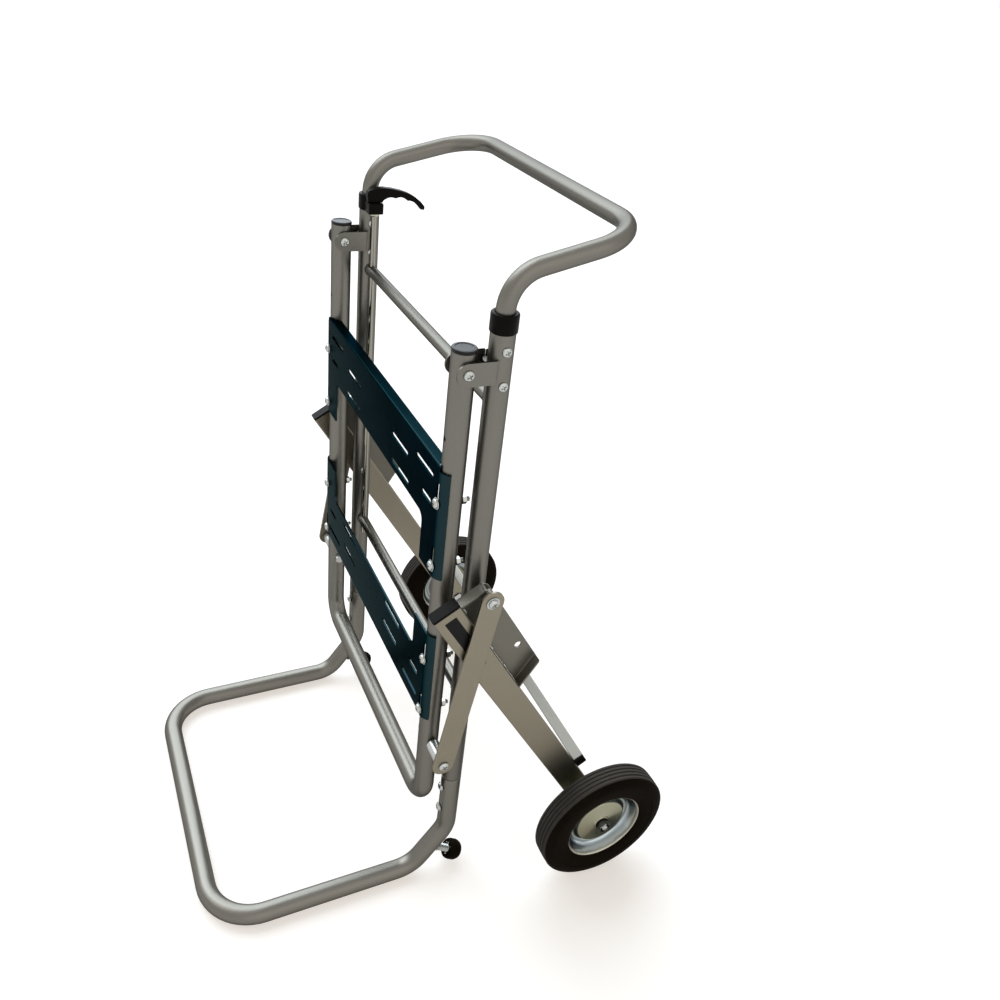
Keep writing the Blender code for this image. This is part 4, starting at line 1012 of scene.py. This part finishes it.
def leg_label(side, s):
    """A bare black plate on the leg's outer face."""
    near, far, low, high = -0.093, -0.020, -0.00825, 0.00825
    box = rounded(((near, low), (far, low), (far, high), (near, high)), 0.0008, 3)
    film = prism(box, LEG_FLAT, (LEG_OUT_X - 0.0002) * s, (LEG_OUT_X + 0.0002) * s)
    piece(f"label_plate_{side}", film, FILM, "wheel_legs", planar=True)


def leg_pivots():
    for side, s in SIDES:
        node = f"leg_pivot_bolt_{side}"
        at = Vector(((LEG_OUT_X + GAP) * s, LEG_PIVOT.y, LEG_PIVOT.z))
        shape = (
            (0, 0.0014), (0.0042, 0.0014), (0.0058, 0.0007), (0.0058, 0), (PIN_R, 0), (PIN_R, -0.0186),
            (0.008, -0.0186), (0.008, -(LEG_OUT_X - UPRIGHT_X - TUBE_R)), (0, -(LEG_OUT_X - UPRIGHT_X - TUBE_R)),
        )
        piece(f"leg_pivot_pin_{side}", lathe(shape, at, X_AXIS * s), SILVER, "rear_frame", (node,))
        inner = Vector(((UPRIGHT_X - TUBE_R) * s, LEG_PIVOT.y, LEG_PIVOT.z))
        piece(f"leg_pivot_rivet_{side}", lathe(((0, 0.0018), (0.0035, 0.0018), (0.0055, 0.0006), (0.0055, 0), (0, 0)), inner, -X_AXIS * s), ZINC, "rear_frame")


# Wheels

def tyre(side, s):
    """A ribbed hard-rubber tyre."""
    seat = 0.0568
    lip = 0.0613
    half = WHEEL_HALF
    crown = WHEEL_R
    groove = 0.0015
    tread = 0.0138
    ribs = 5
    step = 2 * tread / (ribs * 2 - 1)
    top = []
    for k in range(ribs * 2 - 1):
        radius = crown - 0.0004 * (abs(k - (ribs - 1)) / (ribs - 1)) ** 2
        radius -= groove if k % 2 else 0
        low = -tread + step * k
        if k % 2:
            top += [(radius, low + step * 0.3), (radius, low + step * 0.7)]
        else:
            top += [
                (radius - 0.0006, low - step * 0.2), (radius, low), (radius, low + step),
                (radius - 0.0006, low + step * 1.2),
            ]
    wall = [
        (crown - 0.005, half - 0.0028), (crown - 0.011, half - 0.0006), (crown - 0.018, half), (crown - 0.019, half - 0.0006),
        (0.072, half - 0.0008), (0.0665, half - 0.0022), (lip + 0.0012, 0.0165), (lip, 0.0158), (lip, 0.0135), (seat, 0.0115),
    ]
    left = [(r, -w) for r, w in reversed(wall)]
    profile = left + top + wall
    place = Vector((AXLE.x * s, AXLE.y, AXLE.z))
    mesh = lathe([*profile, profile[0]], place, X_AXIS * s, WHEEL_STEPS)
    piece(f"tyre_tread_{side}", mesh, RUBBER, f"{side}_wheel", (f"tyre_{side}",), 28)


def rim(side, s):
    """A pressed rim: rolled lip, deep channel, raised flat centre and a hub."""
    outer = (
        (0.0058, 0.0085), (0.0105, 0.0085), (0.0116, 0.0078), (0.0121, 0.0060), (0.0128, 0.0054), (0.0380, 0.0054),
        (0.0392, 0.0048), (0.0402, 0.0022), (0.0412, -0.0012), (0.0428, -0.0026), (0.0462, -0.0026), (0.0486, -0.0008),
        (0.0512, 0.0010), (0.0534, 0.0050), (0.0550, 0.0100), (0.0568, 0.0128), (0.0590, 0.0150), (0.0606, 0.0158),
        (0.0609, 0.0150),
    )
    inner = (
        (0.0595, 0.0135), (0.0560, 0.0105), (0.0560, -0.0105), (0.0605, -0.0150), (0.0600, -0.0160),
        (0.0548, -0.0125), (0.0540, -0.0050), (0.0465, -0.0050), (0.0400, -0.0045), (0.0384, 0.0015), (0.0370, 0.0030),
        (0.0120, 0.0030), (0.0120, -0.034), (0.0058, -0.034), (0.0058, 0.0085),
    )
    place = Vector((AXLE.x * s, AXLE.y, AXLE.z))
    mesh = lathe(outer + inner, place, X_AXIS * s, WHEEL_STEPS)
    piece(f"rim_pressing_{side}", mesh, RIM_ZINC, f"{side}_wheel", (f"rim_{side}",), 50)


def axle(side, s):
    node = f"axle_bolt_{side}"
    out = X_AXIS * s
    head = Vector(((LEG_IN_X - GAP) * s, AXLE.y, AXLE.z))
    piece(f"axle_head_{side}", hex_nut(head, -out, 0.006, 0.0022), ZINC, "wheel_legs", (node,))
    face = Vector(((AXLE.x + 0.0088) * s, AXLE.y, AXLE.z))
    piece(f"axle_washer_{side}", washer(face, out, 0.0108, 0.0050, 0.0015), BLACK, "wheel_legs")
    piece(f"axle_nut_{side}", hex_nut(face + out * 0.0016, out, 0.0048, 0.0080), ZINC, "wheel_legs", planar=True)
    piece(f"axle_end_{side}", stud_end(face, out, -0.03, 0.0102, 0.0040, 0.00125), ZINC, "wheel_legs")


# Levelling feet

def foot(side, s):
    """A fat rubber knob and its nut on a threaded stud, through a nut welded to the slanted tube."""
    down = Vector((0, math.cos(FOLD), -math.sin(FOLD)))
    slant_run = (SLANT_TOP_Z - TUBE_R) * math.tan(FOLD)
    start = Vector((UPRIGHT_X * s, UPRIGHT_Y - slant_run / 2, (SLANT_TOP_Z + TUBE_R) / 2))
    rider = f"{side}_foot"
    pad = (
        (0, 0.0402), (0.0125, 0.0402), (0.0150, 0.0425), (0.0155, 0.0460), (0.0155, 0.0540),
        (0.0135, 0.0592), (0, 0.0595),
    )
    knob = lathe(rounded(pad, [0, 0.001, 0.002, 0.002, 0.003, 0.0015, 0], 4, closed=False), start, down, 40)
    piece(f"foot_pad_{side}", knob, FOOT_RUBBER, rider, (f"levelling_foot_{side}",))
    thread = stud_end(start, down, -0.004, 0.0410, 0.0057, 0.0032, 0.7)
    piece(f"foot_stud_{side}", thread, ZINC, rider)
    weld_nut = hex_nut(start + down * (TUBE_R - 0.0008), down, 0.0052, 0.0052)
    piece(f"foot_weld_nut_{side}", weld_nut, SILVER, "rear_frame", planar=True)
    lock_nut = hex_nut(start + down * 0.0352, down, 0.0050, 0.0050)
    piece(f"foot_lock_nut_{side}", lock_nut, ZINC, rider, planar=True)


# Release lever

def lever():
    low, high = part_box("release_lever")
    rod = middle("release_rod")
    top = LEVER_PIN.z - 0.004
    reach = 0.0725
    rise = 0.0205
    shares = (
        (-0.165, 0.54), (-0.145, 0.78), (-0.03, 0.95), (0.16, 1.0), (0.33, 0.93), (0.50, 0.80),
        (0.66, 0.62), (0.80, 0.37), (0.92, 0.05), (1.0, -0.27), (0.996, -0.49), (0.925, -0.47),
    )
    crest = [(u * reach, v * rise) for u, v in shares]
    grooves = []
    steps = 27
    for k in range(steps + 1):
        share = 1 - k / steps
        back = (0.16 + (0.883 - 0.16) * share) * reach
        drop = (0.17 + (-0.293 - 0.17) * share) * rise
        arch = 0.0065 * math.sin(math.pi * share)
        grooves.append((back, drop + arch + 0.0022 * abs(math.sin(math.pi * 3 * share))))
    hub = [(0.0105, 0.001), (-0.0105, 0.001)]
    outline = rounded(crest, [0.002, 0.002, 0.003, 0.006, 0.006, 0.006, 0.006, 0.006, 0.006, 0.0012, 0.0008, 0], 3, closed=False) + grooves + hub
    where = looking(Vector((rod.x, UPRIGHT_Y, top)), X_AXIS, Y_AXIS)
    blade = prism(outline, where, -0.005, 0.005)
    piece("lever_blade", softened(blade, 0.0016, 4, 50), BLACK, "lever", ("release_lever",), planar=True)


def rod():
    low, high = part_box("release_rod")
    mid = middle("release_rod")
    length = UPRIGHT_TOP - low.z
    shape = ((0, 0), (0.003, 0), (0.004, 0.001), (0.004, length + 0.01), (0, length + 0.01))
    piece("rod_bar", lathe(shape, Vector((mid.x, mid.y, low.z)), Z_AXIS, 32), CHROME, "rod", ("release_rod",))
    ring = ((0.0043, 0), (0.0062, 0), (0.0074, 0.0015), (0.0074, 0.0045), (0.0043, 0.0045), (0.0043, 0))
    # The ferrule takes the rim's banded zinc; this far from the axle it gets the outermost band, the painted highlight
    # of the rim's lip.
    piece("rod_ferrule", lathe(ring, Vector((mid.x, mid.y, UPRIGHT_TOP - 0.0042)), Z_AXIS, 32), RIM_ZINC, "rear_frame")


def camera():
    made = bpy.data.objects.new("camera", bpy.data.cameras.new("camera"))
    bpy.context.scene.collection.objects.link(made)
    turn = Matrix((CAMERA_RIGHT, CAMERA_UP, CAMERA_RIGHT.cross(CAMERA_UP))).transposed().to_4x4()
    made.matrix_world = Matrix.Translation(CAMERA_PLACE) @ turn
    made.data.sensor_width = SENSOR
    made.data.lens = FOCAL_LENGTH
    made.data.clip_start = 0.02
    bpy.context.scene.camera = made


def soft_sun(name, place, strength, spread, colour):
    """A broad, even lamp that shines from a place towards the middle of the stand."""
    data = bpy.data.lights.new(name, "SUN")
    data.energy = strength
    data.angle = math.radians(spread)
    data.color = colour
    made = bpy.data.objects.new(name, data)
    bpy.context.scene.collection.objects.link(made)
    made.location = place
    made.rotation_euler = (-Vector(place)).to_track_quat("-Z", "Y").to_euler()


def seen_directly(tree):
    """1 for rays from the camera or off or through a glossy surface, and 0 for the rest."""
    path = tree.nodes.new("ShaderNodeLightPath")
    camera_ray, glossy, through = (
        Value(tree, path.outputs[f"Is {kind} Ray"]) for kind in ("Camera", "Glossy", "Transmission")
    )
    total = camera_ray + glossy + through
    return total.maths("MINIMUM", total, 1.0)


def studio():
    mesh = bmesh.new()
    bmesh.ops.create_grid(mesh, x_segments=1, y_segments=1, size=60, matrix=Matrix.Translation((0, 0, -0.0006)))
    data = bpy.data.meshes.new("floor")
    mesh.to_mesh(data)
    mesh.free()
    floor = bpy.data.objects.new("floor", data)
    bpy.context.scene.collection.objects.link(floor)
    pale = Finish("pale floor", "", (0.5, 0.5, 0.5), 0.9)
    lift = (0.62, 0.58, 0.535, 1)
    pale.feed("Emission Color", pale.mixed(seen_directly(pale.tree), (0, 0, 0, 1), lift))
    pale.feed("Emission Strength", 1.0)
    pale.feed("Specular IOR Level", 0.0)
    data.materials.append(pale.material)
    world = bpy.data.worlds.new("room")
    bpy.context.scene.world = world
    world.use_nodes = True
    tree = world.node_tree
    shader = tree.nodes["Background"]
    strength = seen_directly(tree) * (1 - ROOM_LIGHT) + ROOM_LIGHT
    shader.inputs["Color"].default_value = (1, 1, 1, 1)
    tree.links.new(strength.socket, shader.inputs["Strength"])
    soft_sun("key", (-1.2, -1.6, 3.2), 0.75, 45, (0.94, 0.98, 1.0))
    soft_sun("fill", (3.0, 0.4, 0.9), 0.55, 70, (1.0, 0.93, 0.84))
    soft_sun("back", (-2.3, 0.1, 1.85), 4.4, 74, (0.80, 0.90, 1.0))
    bpy.context.scene.view_settings.view_transform = "Standard"


def build():
    base_loop()
    handle_loop()
    tool_loop()
    uprights()
    cross_bars()
    collars()
    tube_caps()
    clevises()
    brackets()
    links()
    for side, s in SIDES:
        leg_side(side, s)
        leg_plate(side, s)
        leg_label(side, s)
        tyre(side, s)
        rim(side, s)
        axle(side, s)
        foot(side, s)
    spreader()
    leg_pivots()
    lever()
    rod()
    screws()


build()
camera()
studio()
